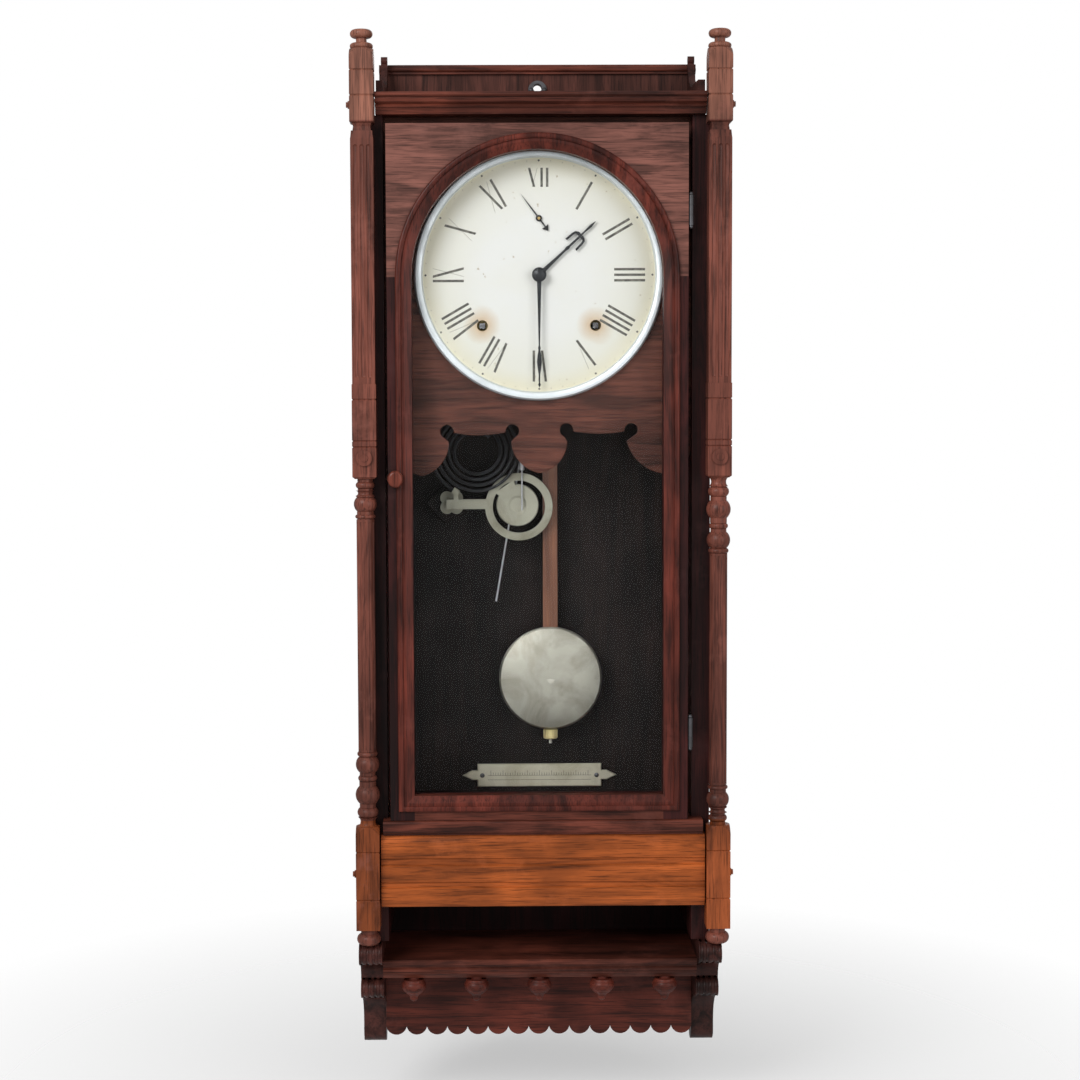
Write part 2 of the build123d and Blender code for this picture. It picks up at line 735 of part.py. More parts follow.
with BuildPart() as dial_apron:
    with BuildSketch(front(dial_board_depth)):
        with BuildLine():
            Line((inner_left, dial_board_bottom), (inner_left, lobe_side_z[0]))
            bulge((inner_left, lobe_side_z[0]), lobe_tips[0], 3.0)
            for i in (0, 1):
                cusp_in, cusp_out = cusps[2 * i], cusps[2 * i + 1]
                notch_in, notch_out = notches[2 * i], notches[2 * i + 1]
                enter = toward(notch_in, -110, notch_radius)
                leave = toward(notch_out, -70, notch_radius)
                bulge(lobe_tips[i], cusp_in, lobe_sagitta)
                Line(cusp_in, enter)
                ThreePointArc(enter, toward(notch_in, 120, notch_radius), toward(notch_in, -10, notch_radius))
                bulge(toward(notch_in, -10, notch_radius), toward(notch_out, 190, notch_radius), 2.4)
                ThreePointArc(toward(notch_out, 190, notch_radius), toward(notch_out, 60, notch_radius), leave)
                Line(leave, cusp_out)
                bulge(cusp_out, lobe_tips[i + 1], lobe_sagitta)
            bulge(lobe_tips[2], (inner_right, lobe_side_z[1]), 3.0)
            Line((inner_right, lobe_side_z[1]), (inner_right, dial_board_bottom))
            Line((inner_right, dial_board_bottom), (inner_left, dial_board_bottom))
        make_face()
    extrude(amount=-dial_board_thickness)
save(dial_apron.part, "dial_apron")

# Dial plate and the ring round it
plate_front = dial_board_depth + dial_plate_thickness
plate_radius = dial_ring_inner + 1.8
with BuildPart() as dial_plate:
    with BuildSketch(front(dial_board_depth)):
        with Locations(dial_place):
            Circle(plate_radius)
            Circle(hour_pipe_radius + 0.6, mode=Mode.SUBTRACT)
        with Locations(seconds_place):
            Circle(seconds_arbor + 0.6, mode=Mode.SUBTRACT)
        with Locations(going_place, strike_place):
            Circle(winding_hole, mode=Mode.SUBTRACT)
    extrude(amount=dial_plate_thickness)
save(dial_plate.part, "dial_plate")

with BuildPart() as dial_ring:
    with BuildSketch(face_lathe(dial_place)):
        with BuildLine():
            ring_front = dial_board_depth + dial_ring_height
            Polyline((dial_ring_outer - 1.5, -ring_front), (dial_ring_outer, -ring_front + 3.0),
                     (dial_ring_outer, -dial_board_depth), (plate_radius + 0.2, -dial_board_depth),
                     (plate_radius + 0.2, -plate_front - run), (dial_ring_inner, -plate_front - run),
                     (dial_ring_inner + 1.4, -ring_front + 0.6))
            ThreePointArc((dial_ring_inner + 1.4, -ring_front + 0.6),
                          ((dial_ring_inner + dial_ring_outer) / 2, -ring_front - 0.2),
                          (dial_ring_outer - 1.5, -ring_front))
        make_face()
    revolve(axis=Axis((dial_place[0], 0, dial_place[1]), (0, 1, 0)))
save(dial_ring.part, "dial_ring")


# Hands, drawn pointing up from their arbor and then turned
def hand_plane(place, depth, angle):
    """A plane of the dial at an arbor, its Y along a hand that stands at a clockwise angle."""
    across = (cos(radians(angle)), 0, -sin(radians(angle)))
    return Plane(origin=(place[0], -depth, place[1]), x_dir=across, z_dir=(0, -1, 0))


def mirrored_outline(points):
    """A face from the right half of an outline, given as (half-width, distance) from the arbor."""
    with BuildLine() as outline:
        Polyline(*points, *[(-x, y) for x, y in reversed(points) if x > 0], close=True)
    make_face(outline.edges())


with BuildPart() as hour_hand:
    with BuildSketch(hand_plane(dial_place, hour_depth, hour_angle)):
        Circle(6.2)
        mirrored_outline([(1.9, 5.0), (1.2, 20.0), (0.95, 32.0), (1.6, 34.5), (0.95, 37.0), (0.95, 49.0),
                          (4.2, 48.8), (4.9, 46.5), (5.4, 39.0), (7.3, 38.6), (6.9, 46.5), (6.2, 49.6),
                          (3.4, 51.8), (0.8, 51.6), (0.7, 55.0), (1.2, 63.0), (0.0, hour_length)])
        Circle(hour_pipe_radius + run, mode=Mode.SUBTRACT)
    extrude(amount=hand_thickness)
save(hour_hand.part, "hour_hand")

collet_front = minute_depth + hand_thickness + 2.0
with BuildPart() as minute_hand:
    with BuildSketch(hand_plane(dial_place, minute_depth, 180.0)):
        Circle(5.4)
        mirrored_outline([(2.0, 4.0), (1.3, 30.0), (0.8, 55.0), (0.6, 62.5), (1.3, 64.5), (0.8, 66.5),
                          (1.6, 71.0), (2.2, 77.0), (1.5, 83.0), (0.75, 88.0), (0.6, 95.5), (1.3, 97.0),
                          (0.0, minute_length)])
        Circle(cannon_pipe_radius + run, mode=Mode.SUBTRACT)
    extrude(amount=hand_thickness)
    with BuildSketch(front(minute_depth + hand_thickness)):
        with Locations(dial_place):
            Circle(6.4)
            Circle(cannon_pipe_radius + run, mode=Mode.SUBTRACT)
    extrude(amount=1.2)
save(minute_hand.part, "minute_hand")

with BuildPart() as seconds_hand:
    with BuildSketch(hand_plane(seconds_place, seconds_depth, seconds_angle)):
        Circle(2.8)
        mirrored_outline([(0.7, 0.0), (0.5, 14.0), (0.0, seconds_length)])
        mirrored_outline([(0.7, 0.0), (0.6, 4.6 - seconds_tail), (3.4, 4.8 - seconds_tail), (0.0, -seconds_tail)])
        Circle(seconds_arbor + run, mode=Mode.SUBTRACT)
    extrude(amount=0.6)
save(seconds_hand.part, "seconds_hand")


# Wheels and pinions. A tooth form holds its tip and root reach in modules, then its width at the
# root, the pitch circle and the tip as a share of the pitch.
wheel_form = (0.9, 1.2, 0.56, 0.42, 0.16)
pinion_form = (0.5, 1.35, 0.30, 0.38, 0.26)


def gear(place, teeth, module, form, depths, phase):
    """Add a toothed disc between two depths; phase is the angle of one of its teeth."""
    addendum, dedendum, at_root, at_pitch, at_tip = form
    radius = teeth * module / 2
    points = []
    for i in range(teeth):
        for reach, share in ((-dedendum, -at_root), (0, -at_pitch), (addendum, -at_tip),
                             (addendum, at_tip), (0, at_pitch), (-dedendum, at_root)):
            angle = phase + 360 / teeth * (i + share / 2)
            points.append(toward(place, angle, radius + reach * module))
    with BuildSketch(front(max(depths))) as outline:
        with BuildLine():
            Polyline(*points, close=True)
        make_face()
    extrude(outline.sketch, amount=-abs(depths[1] - depths[0]))


def arbor(place, depths=None):
    """Add an arbor between the plates, with a pivot into each."""
    back, forward = back_plate_depth + plate_thickness, front_plate_depth
    pin(place, (back + pivot_shoulder, forward - pivot_shoulder), arbor_radius)
    pin(place, (back_plate_depth, forward + plate_thickness), pivot_radius)


def lighten(place, depths, count, distance, radius):
    """Cut the round windows of a wheel."""
    for i in range(count):
        pin(toward(place, 45 + i * 360 / count, distance), depths, radius, mode=Mode.SUBTRACT)


def reach(module, teeth, pinion_teeth):
    """The distance between the arbors of a mesh."""
    return module * (teeth + pinion_teeth) / 2


# The train is laid out from the winding arbor to the centre by two circles that cross
great_reach = reach(great_module, great_teeth, great_pinion_teeth)
second_reach = reach(second_module, second_teeth, centre_pinion_teeth)
centre_reach = reach(centre_module, centre_teeth, third_pinion_teeth)
third_reach = reach(third_module, third_teeth, escape_pinion_teeth)
motion_reach = reach(cannon_module, minute_wheel_teeth, cannon_teeth)


def crossing(a, reach_a, b, reach_b, side):
    """The place at one reach from a and another from b, to the left (1) or right (-1) of a to b."""
    span = dist(a, b)
    along = (reach_a ** 2 - reach_b ** 2 + span ** 2) / (2 * span)
    off = side * sqrt(reach_a ** 2 - along ** 2)
    ux, uz = (b[0] - a[0]) / span, (b[1] - a[1]) / span
    return (a[0] + along * ux - off * uz, a[1] + along * uz + off * ux)


def heading(a, b):
    """The angle from a to b in the plane of the dial."""
    return degrees(atan2(b[1] - a[1], b[0] - a[0]))


second_place = crossing(going_place, great_reach, dial_place, second_reach, -1)
third_place = crossing(dial_place, centre_reach, seconds_place, third_reach, -1)
motion_place = (dial_place[0], dial_place[1] - motion_reach)
strike_wheel_place = toward(strike_place, 107, great_reach)
fly_place = toward(strike_wheel_place, 70, second_reach)


def pinion_phase(place, driver, teeth):
    """The phase that turns a gap of a pinion to its driver."""
    return heading(place, driver) + 180 / teeth


# Depths of the wheels between the plates, from the front plate back
great_depths = (76.0, 79.0)
great_pinion_depths = (75.5, 79.5)
barrel_depths = (57.0, 76.0)
second_depths = (53.0, 55.0)
centre_pinion_depths = (52.0, 56.0)
centre_depths = (60.0, 62.0)
third_pinion_depths = (59.0, 63.0)
third_depths = (66.0, 68.0)
escape_pinion_depths = (65.0, 69.0)
escape_depths = (72.0, 73.6)
plate_gap = (back_plate_depth + plate_thickness, front_plate_depth)


def barrel(place, wheel_phase):
    """Add a great wheel with its spring barrel, bored for the winding arbor."""
    gear(place, great_teeth, great_module, wheel_form, great_depths, wheel_phase)
    pin(place, barrel_depths, barrel_radius)
    pin(place, (barrel_depths[0], great_depths[1]), winding_arbor_radius + run, mode=Mode.SUBTRACT)
    bore = barrel_radius - 1.6
    pin(place, (barrel_depths[0] + 1.5, great_depths[0]), bore, mode=Mode.SUBTRACT)


def winding_arbor(place):
    """Add an arbor with its square, which takes the key through the dial."""
    back, forward = plate_gap
    pin(place, (back + pivot_shoulder, forward + plate_thickness + 0.5), winding_arbor_radius)
    pin(place, (back_plate_depth, back + pivot_shoulder), pivot_radius * 2)
    slab((place[0] - winding_square / 2, place[0] + winding_square / 2),
         (forward + plate_thickness + 0.5, dial_board_depth - 1.0),
         (place[1] - winding_square / 2, place[1] + winding_square / 2))


with BuildPart() as going_barrel:
    barrel(going_place, heading(going_place, second_place))
save(going_barrel.part, "going_barrel")

with BuildPart() as going_winding_arbor:
    winding_arbor(going_place)
save(going_winding_arbor.part, "going_winding_arbor")

with BuildPart() as second_wheel:
    gear(second_place, second_teeth, second_module, wheel_form, second_depths,
         heading(second_place, dial_place))
    lighten(second_place, second_depths, 4, 14.0, 6.5)
    gear(second_place, great_pinion_teeth, great_module, pinion_form, great_pinion_depths,
         pinion_phase(second_place, going_place, great_pinion_teeth))
    arbor(second_place)
save(second_wheel.part, "second_wheel")

# Centre wheel, its pinion, and the cannon pinion and pipe in front of the plate
cannon_depths = (87.0, 90.5)
with BuildPart() as centre_wheel:
    gear(dial_place, centre_teeth, centre_module, wheel_form, centre_depths,
         heading(dial_place, third_place))
    lighten(dial_place, centre_depths, 4, 14.0, 6.5)
    gear(dial_place, centre_pinion_teeth, second_module, pinion_form, centre_pinion_depths,
         pinion_phase(dial_place, second_place, centre_pinion_teeth))
    arbor(dial_place)
    gear(dial_place, cannon_teeth, cannon_module, pinion_form, cannon_depths,
         pinion_phase(dial_place, motion_place, cannon_teeth))
    pin(dial_place, (front_plate_depth + plate_thickness + pivot_shoulder, collet_front), cannon_pipe_radius)
save(centre_wheel.part, "centre_wheel")

with BuildPart() as third_wheel:
    gear(third_place, third_teeth, third_module, wheel_form, third_depths,
         heading(third_place, seconds_place))
    lighten(third_place, third_depths, 4, 13.0, 6.0)
    gear(third_place, third_pinion_teeth, centre_module, pinion_form, third_pinion_depths,
         pinion_phase(third_place, dial_place, third_pinion_teeth))
    arbor(third_place)
save(third_wheel.part, "third_wheel")

# Escape wheel on the seconds arbor, which runs on through the dial
escape_root = escape_radius - 3.4
with BuildPart() as escape_wheel:
    with BuildSketch(front(escape_depths[1])):
        with BuildLine():
            Polyline(*[toward(seconds_place, 360 / escape_teeth * (i + share), radius)
                       for i in range(escape_teeth)
                       for share, radius in ((0, escape_root), (0.30, escape_radius), (0.42, escape_radius),
                                             (0.46, escape_root))], close=True)
        make_face()
    extrude(amount=escape_depths[0] - escape_depths[1])
    lighten(seconds_place, escape_depths, 4, 11.0, 5.0)
    gear(seconds_place, escape_pinion_teeth, third_module, pinion_form, escape_pinion_depths,
         pinion_phase(seconds_place, third_place, escape_pinion_teeth))
    arbor(seconds_place)
    pin(seconds_place, (front_plate_depth, seconds_depth + 0.6), seconds_arbor)
save(escape_wheel.part, "escape_wheel")

# Verge: pallets round the escape wheel, its arbor, and the crutch whose pin enters the rod's slot
pallet_inner = 24.6
pallet_outer = 28.6
pallet_span = 38.0
crutch_depths = (41.0, 43.0)
crutch_length = 52.0
crutch_pin = 1.2
verge_heading = heading(seconds_place, swing_place)
with BuildPart() as verge:
    with BuildSketch(front(escape_depths[1])):
        with BuildLine():
            outer_ends = [toward(seconds_place, verge_heading + a, pallet_outer)
                          for a in (-pallet_span, 0, pallet_span)]
            inner_ends = [toward(seconds_place, verge_heading + a, pallet_inner)
                          for a in (pallet_span, 0, -pallet_span)]
            ThreePointArc(*outer_ends)
            Line(outer_ends[2], inner_ends[0])
            ThreePointArc(*inner_ends)
            Line(inner_ends[2], outer_ends[0])
        make_face()
        with Locations(swing_place):
            Circle(4.6)
    extrude(amount=escape_depths[0] - escape_depths[1])
    arbor(swing_place)
    pin(swing_place, (crutch_depths[0], back_plate_depth + plate_thickness), pivot_radius)
    slab((swing_place[0] - 1.5, swing_place[0] + 1.5), crutch_depths,
         (swing_place[1] + 2.5, swing_place[1] - crutch_length))
    pin((swing_place[0], swing_place[1] - crutch_length + 2.0), (rod_depth - 4.0, crutch_depths[0]), crutch_pin)
save(verge.part, "verge")

# Motion work in front of the plate
minute_wheel_depths = (87.5, 90.0)
minute_pinion_depths = (91.0, 95.5)
hour_wheel_depths = (92.0, 95.0)
stud_radius = 1.5
with BuildPart() as minute_wheel:
    gear(motion_place, minute_wheel_teeth, cannon_module, wheel_form, minute_wheel_depths,
         heading(motion_place, dial_place))
    gear(motion_place, minute_pinion_teeth, hour_module, pinion_form, minute_pinion_depths,
         pinion_phase(motion_place, dial_place, minute_pinion_teeth))
    pin(motion_place, (minute_wheel_depths[1], minute_pinion_depths[0]), 2.6)
    pin(motion_place, (minute_wheel_depths[0], minute_pinion_depths[1]), stud_radius + run, mode=Mode.SUBTRACT)
save(minute_wheel.part, "minute_wheel")

with BuildPart() as hour_wheel:
    gear(dial_place, hour_teeth, hour_module, wheel_form, hour_wheel_depths,
         heading(dial_place, motion_place))
    pin(dial_place, (hour_wheel_depths[0], hour_depth + hand_thickness + 0.6), hour_pipe_radius)
    pin(dial_place, (hour_wheel_depths[0], hour_depth + hand_thickness + 0.6), cannon_pipe_radius + run,
        mode=Mode.SUBTRACT)
save(hour_wheel.part, "hour_wheel")

# Strike train: barrel, second arbor and the fly that governs its speed
fly_half = 13.0
with BuildPart() as strike_barrel:
    barrel(strike_place, heading(strike_place, strike_wheel_place))
save(strike_barrel.part, "strike_barrel")

with BuildPart() as strike_winding_arbor:
    winding_arbor(strike_place)
save(strike_winding_arbor.part, "strike_winding_arbor")

with BuildPart() as strike_wheel:
    gear(strike_wheel_place, second_teeth, second_module, wheel_form, second_depths,
         heading(strike_wheel_place, fly_place))
    lighten(strike_wheel_place, second_depths, 4, 14.0, 6.5)
    gear(strike_wheel_place, great_pinion_teeth, great_module, pinion_form, great_pinion_depths,
         pinion_phase(strike_wheel_place, strike_place, great_pinion_teeth))
    arbor(strike_wheel_place)
save(strike_wheel.part, "strike_wheel")

with BuildPart() as strike_fly:
    gear(fly_place, centre_pinion_teeth, second_module, pinion_form, centre_pinion_depths,
         pinion_phase(fly_place, strike_wheel_place, centre_pinion_teeth))
    arbor(fly_place)
    slab((fly_place[0] - fly_half, fly_place[0] + fly_half), (60.0, 76.0),
         (fly_place[1] - 0.5, fly_place[1] + 0.5))
save(strike_fly.part, "strike_fly")

# Hammer: its arbor, a rod behind the back plate, the head beside the gong, and a thin tail
hammer_rod = 1.2
hammer_head_radius = 2.3
head_top = hammer_head[1] + 8.5
head_bottom = hammer_head[1] - 8.5
tail_bottom = -390.0
tail_radius = 0.75


def rod_between(start, end, depth, radius):
    """Add a straight round rod between two places at one depth."""
    a = Vector(start[0], -depth, start[1])
    b = Vector(end[0], -depth, end[1])
    with BuildSketch(Plane(origin=a, z_dir=(b - a).normalized())) as section:
        Circle(radius)
    extrude(section.sketch, amount=(b - a).length)


with BuildPart() as hammer:
    arbor(hammer_place)
    pin(hammer_place, (hammer_depth - hammer_rod, back_plate_depth + plate_thickness), pivot_radius)
    pin(hammer_place, (hammer_depth - hammer_rod - 0.6, back_plate_depth - 0.8), 2.6)
    rod_between(hammer_place, (hammer_head[0], head_top), hammer_depth, hammer_rod)
    with Locations((hammer_head[0], -hammer_depth, hammer_head[1])):
        Cylinder(hammer_head_radius, head_top - head_bottom)
    rod_between((hammer_head[0], head_bottom), (hammer_head[0], tail_bottom), hammer_depth, tail_radius)
save(hammer.part, "hammer")

# Trip wire, which is pulled aside to set the strike going
trip_radius = 0.9
with BuildPart() as trip_lever:
    arbor(trip_place)
    boss_back = trip_depth - trip_radius - 0.3
    pin(trip_place, (boss_back + 0.6, back_plate_depth + plate_thickness), pivot_radius)
    pin(trip_place, (boss_back, trip_depth + 2.4), 2.2)
    rod_between(trip_place, trip_end, trip_depth, trip_radius)
save(trip_lever.part, "trip_lever")

# Movement plates, bored for every arbor
pivots = [dial_place, second_place, third_place, seconds_place, swing_place, strike_wheel_place, fly_place,
          hammer_place, trip_place]
pillar_places = [(plate_middle + side * pillar_spread, z) for side in (-1, 1) for z in pillar_heights]


def plate_blank(depth):
    """Add a movement plate whose back is at a depth, with the pivot holes that both plates share."""
    with BuildSketch(front(depth)) as blank:
        with Locations((plate_middle, (plate_top + plate_bottom) / 2)):
            RectangleRounded(2 * plate_half, plate_top - plate_bottom, 4.0)
        with Locations(*pivots):
            Circle(pivot_radius + run, mode=Mode.SUBTRACT)
    extrude(blank.sketch, amount=plate_thickness)


with BuildPart() as front_plate:
    plate_blank(front_plate_depth)
    span = (front_plate_depth, front_plate_depth + plate_thickness)
    pin(seconds_place, span, seconds_arbor + run, mode=Mode.SUBTRACT)
    for place in (going_place, strike_place):
        pin(place, span, winding_arbor_radius + run, mode=Mode.SUBTRACT)
    for place in pillar_places:
        pin(place, span, pillar_radius / 2 + run, mode=Mode.SUBTRACT)
    pin(motion_place, (span[1], minute_pinion_depths[1] + 0.8), stud_radius)
save(front_plate.part, "front_plate")

# Back plate, with the slotted stud that the suspension spring hangs from
stud_z = (swing_place[1] + 4.0, swing_place[1] + 10.0)
stud_half = 4.5
spring_thickness = 0.4
spring_depths = (rod_depth - rod_thickness + 0.5, rod_depth - 0.5)
with BuildPart() as back_plate:
    plate_blank(back_plate_depth)
    span = (back_plate_depth, back_plate_depth + plate_thickness)
    for place in (going_place, strike_place):
        pin(place, span, pivot_radius * 2 + run, mode=Mode.SUBTRACT)
    for place in pillar_places:
        pin(place, span, pillar_radius + run, mode=Mode.SUBTRACT)
    slab((swing_place[0] - stud_half, swing_place[0] + stud_half), (spring_depths[0] - 2.0, back_plate_depth),
         stud_z)
    slab((swing_place[0] - spring_thickness / 2 - run, swing_place[0] + spring_thickness / 2 + run),
         (spring_depths[0] - run, spring_depths[1] + run), stud_z, mode=Mode.SUBTRACT)
save(back_plate.part, "back_plate")

# Pillars from the backboard through the back plate to the front plate
with BuildPart() as movement_pillars:
    for place in pillar_places:
        pin(place, (back_thickness, front_plate_depth), pillar_radius)
        pin(place, (front_plate_depth, front_plate_depth + plate_thickness + 1.5), pillar_radius / 2)
save(movement_pillars.part, "movement_pillars")

# Suspension spring: a thin strip held in the stud and in the top of the rod
spring_top = stud_z[1] - 0.5
spring_bottom = rod_top - 7.0
with BuildPart() as suspension_spring:
    slab((swing_place[0] - spring_thickness / 2, swing_place[0] + spring_thickness / 2), spring_depths,
         (spring_top, spring_bottom))
save(suspension_spring.part, "suspension_spring")

# Pendulum rod, slotted for the spring and the crutch pin, with its threaded stem
rod_x = swing_place[0]
rod_back = rod_depth - rod_thickness
stem_depth = (rod_depth + rod_back) / 2
with BuildPart() as pendulum_rod:
    slab((rod_x - rod_width / 2, rod_x + rod_width / 2), (rod_back, rod_depth), (rod_top, rod_bottom))
    slab((rod_x - spring_thickness / 2 - run, rod_x + spring_thickness / 2 + run), (rod_back, rod_depth),
         (rod_top, spring_bottom - 0.5), mode=Mode.SUBTRACT)
    crutch_z = swing_place[1] - crutch_length + 2.0
    slab((rod_x - crutch_pin - slack, rod_x + crutch_pin + slack), (rod_back, rod_depth),
         (crutch_z - 4.0, crutch_z + 4.0), mode=Mode.SUBTRACT)
    with Locations((rod_x, -stem_depth, (rod_bottom + stem_bottom) / 2)):
        Cylinder(stem_radius, rod_bottom - stem_bottom)
save(pendulum_rod.part, "pendulum_rod")

# Bob: a domed disc whose back takes the end of the rod in a channel
channel_end = rod_bottom - bob_travel - 1.0
with BuildPart() as pendulum_bob:
    with BuildSketch(face_lathe((rod_x, bob_z))):
        with BuildLine():
            Line((0, -bob_back), (bob_radius - 1.0, -bob_back))
            Line((bob_radius - 1.0, -bob_back), (bob_radius, -bob_back - 1.5))
            Line((bob_radius, -bob_back - 1.5), (bob_radius, -bob_rim))
            Line((bob_radius, -bob_rim), (bob_radius - 1.6, -bob_rim - 1.2))
            edge, rim_front = bob_radius - 1.6, bob_rim + 1.2
            ThreePointArc((edge, -rim_front), (edge / 2, -rim_front - cap_rise(edge, bob_front - rim_front, edge / 2)),
                          (0, -bob_front))
            Line((0, -bob_front), (0, -bob_back))
        make_face()
    revolve(axis=Axis((rod_x, 0, bob_z), (0, 1, 0)))
    slab((rod_x - rod_width / 2 - slack, rod_x + rod_width / 2 + slack), (bob_back, rod_depth + slack),
         (bob_z + bob_radius, channel_end), mode=Mode.SUBTRACT)
    with Locations((rod_x, -stem_depth, bob_z)):
        Cylinder(stem_radius + run, 2 * bob_radius + 2, mode=Mode.SUBTRACT)
save(pendulum_bob.part, "pendulum_bob")

# Rating nut under the bob
nut_top = bob_z - bob_radius - slack
with BuildPart() as rating_nut:
    with Locations((rod_x, -stem_depth, nut_top - nut_height / 2)):
        Cylinder(nut_radius, nut_height)
        chamfer(rating_nut.edges().filter_by(GeomType.CIRCLE), length=0.8)
        with PolarLocations(nut_radius + 0.3, 20):
            Cylinder(0.7, nut_height + 1, mode=Mode.SUBTRACT)
        Cylinder(stem_radius + run, nut_height + 1, mode=Mode.SUBTRACT)
save(rating_nut.part, "rating_nut")

# Wooden gong block on the backboard, set as a diamond
with BuildPart() as gong_block:
    with BuildSketch(front(back_thickness)):
        with BuildLine():
            x, z = block_place
            Polyline((x, z + block_half), (x + block_half, z), (x, z - block_half), (x - block_half, z),
                     close=True)
        make_face()
    extrude(amount=block_depth - back_thickness)
    chamfer(gong_block.faces().sort_by(Axis.Y)[0].edges(), length=1.5)
save(gong_block.part, "gong_block")

# The gong's wire ends square on a lug of the bracket, one wire diameter past its last turn
end_heading = radians(coil_end_angle)
end_place = toward(coil_place, coil_end_angle, coil_end_radius)
end_way = (-sin(end_heading), cos(end_heading))
lug_face = (end_place[0] + 2 * coil_wire * end_way[0], end_place[1] + 2 * coil_wire * end_way[1])
lug_size = 6.0
lug_centre = (lug_face[0] + lug_size / 2 * end_way[0], lug_face[1] + lug_size / 2 * end_way[1])

# Cast bracket: a four-lobed foot, an arm, the ring, a dished disc joined to it, and the lug
foot_thickness = 3.0
arm_z = (-389.0, -380.0)
with BuildPart() as gong_bracket:
    with BuildSketch(front(block_depth)):
        for angle in (45, 135, 225, 315):
            with Locations(toward(foot_place, angle, foot_radius)):
                Circle(foot_radius)
    extrude(amount=foot_thickness)
    slab((foot_place[0] - 4.5, foot_place[0] + 4.5), (block_depth, ring_depth), arm_z)
    ring_back = ring_depth - ring_thickness
    slab((foot_place[0], ring_place[0] - ring_inner - 1.0), (ring_back, ring_depth), arm_z)
    slab((lug_centre[0] - 2.0, lug_centre[0] + 2.5), (ring_back, ring_depth + 1.0), (lug_centre[1], arm_z[0]))
    with Locations(Location((lug_centre[0], -(ring_back + coil_depth + 3.0) / 2, lug_centre[1]),
                            (0, 90 - coil_end_angle, 0))):
        Box(lug_size, coil_depth + 3.0 - ring_back, lug_size)
    with BuildSketch(front(ring_depth)):
        with Locations(ring_place):
            Circle(ring_outer)
            Circle(ring_inner, mode=Mode.SUBTRACT)
        with BuildLine():
            root = [toward(ring_place, a, r) for a, r in ((100, 25.5), (150, 25.5), (150, 15.0), (100, 15.0))]
            Polyline(*root, close=True)
        make_face()
    extrude(amount=-ring_thickness)
    with BuildSketch(face_lathe(disc_place)):
        with BuildLine():
            back = -(ring_back + 0.5)
            Polyline((0, back - 1.2), (0, back), (disc_radius - 1.2, back), (disc_radius, back - 0.8),
                     (disc_radius - 0.6, back - 2.8), (9.0, back - 2.2), (6.5, back - 1.2), close=True)
        make_face()
    revolve(axis=Axis((disc_place[0], 0, disc_place[1]), (0, 1, 0)))
save(gong_bracket.part, "gong_bracket")

# Coil gong: half turns whose centres change sides, so that the wire opens by the pitch each turn
with BuildPart() as gong_coil:
    with BuildLine() as coil_path:
        radius = coil_end_radius
        centre = coil_place
        point = end_place
        step = coil_pitch / 2
        tip = (point[0] + 2 * coil_wire * end_way[0], point[1] + 2 * coil_wire * end_way[1])
        Line((tip[0], -coil_depth, tip[1]), (point[0], -coil_depth, point[1]))
        angle = coil_end_angle
        for i in range(coil_half_turns):
            middle = toward(centre, angle - 90, radius)
            far = toward(centre, angle - 180, radius)
            ThreePointArc((point[0], -coil_depth, point[1]), (middle[0], -coil_depth, middle[1]),
                          (far[0], -coil_depth, far[1]))
            point = far
            angle -= 180
            centre = toward(centre, angle, step)
            radius -= step
        way = (sin(radians(angle)), -cos(radians(angle)))
        last = (point[0] + 2 * coil_wire * way[0], point[1] + 2 * coil_wire * way[1])
        Line((point[0], -coil_depth, point[1]), (last[0], -coil_depth, last[1]))
    wire = coil_path.wire()
    with BuildSketch(Plane(origin=wire @ 0, z_dir=wire % 0)):
        Circle(coil_wire)
    sweep(path=wire)
save(gong_coil.part, "gong_coil")


def least_gap(path, wire_radius, count=1400):
    """The smallest distance between turns of a wound wire, surface to surface."""
    points = [path @ (i / count) for i in range(count + 1)]
    skip = int(count * 6 * wire_radius / path.length) + 1
    best = 1e9
    for i in range(0, len(points), 2):
        for j in range(i + skip, len(points), 2):
            best = min(best, (points[i] - points[j]).length)
    return best - 2 * wire_radius


print("gong coil: least gap between turns", round(least_gap(coil_path.wire(), coil_wire), 2), "mm")


# Door frame: stiles and bottom rail below the spring line, the arched head above it
def sight_opening(depth, grow):
    """The arched opening of the door, grown all round, on a plane at a depth."""
    with BuildSketch(front(depth)) as opening:
        with Locations((door_middle, (arch_z + glass_bottom - grow) / 2)):
            Rectangle(2 * (glass_half + grow), arch_z - glass_bottom + grow)
        with Locations((door_middle, arch_z)):
            Circle(glass_half + grow)
    return opening.sketch


def cut_opening():
    """Cut the sight opening, and the rebate behind it that holds the glass."""
    extrude(sight_opening(door_front, 0), amount=-door_thickness, mode=Mode.SUBTRACT)
    extrude(sight_opening(glass_depth, rebate), amount=-(glass_depth - door_back), mode=Mode.SUBTRACT)


stile_width = (door_width - 2 * glass_half) / 2
with BuildPart() as door_stiles:
    for x in (door_left, door_right - stile_width):
        slab((x, x + stile_width), (door_back, door_front), (arch_z, door_bottom))
    cut_opening()
    pin(latch_place, (door_back, door_front), latch_spindle + run, mode=Mode.SUBTRACT)
save(door_stiles.part, "door_stiles")

with BuildPart() as door_bottom_rail:
    slab((door_left + stile_width, door_right - stile_width), (door_back, door_front),
         (door_bottom, glass_bottom))
    cut_opening()
save(door_bottom_rail.part, "door_bottom_rail")

with BuildPart() as door_head:
    slab((door_left, door_right), (door_back, door_front), (arch_z, door_top))
    cut_opening()
save(door_head.part, "door_head")

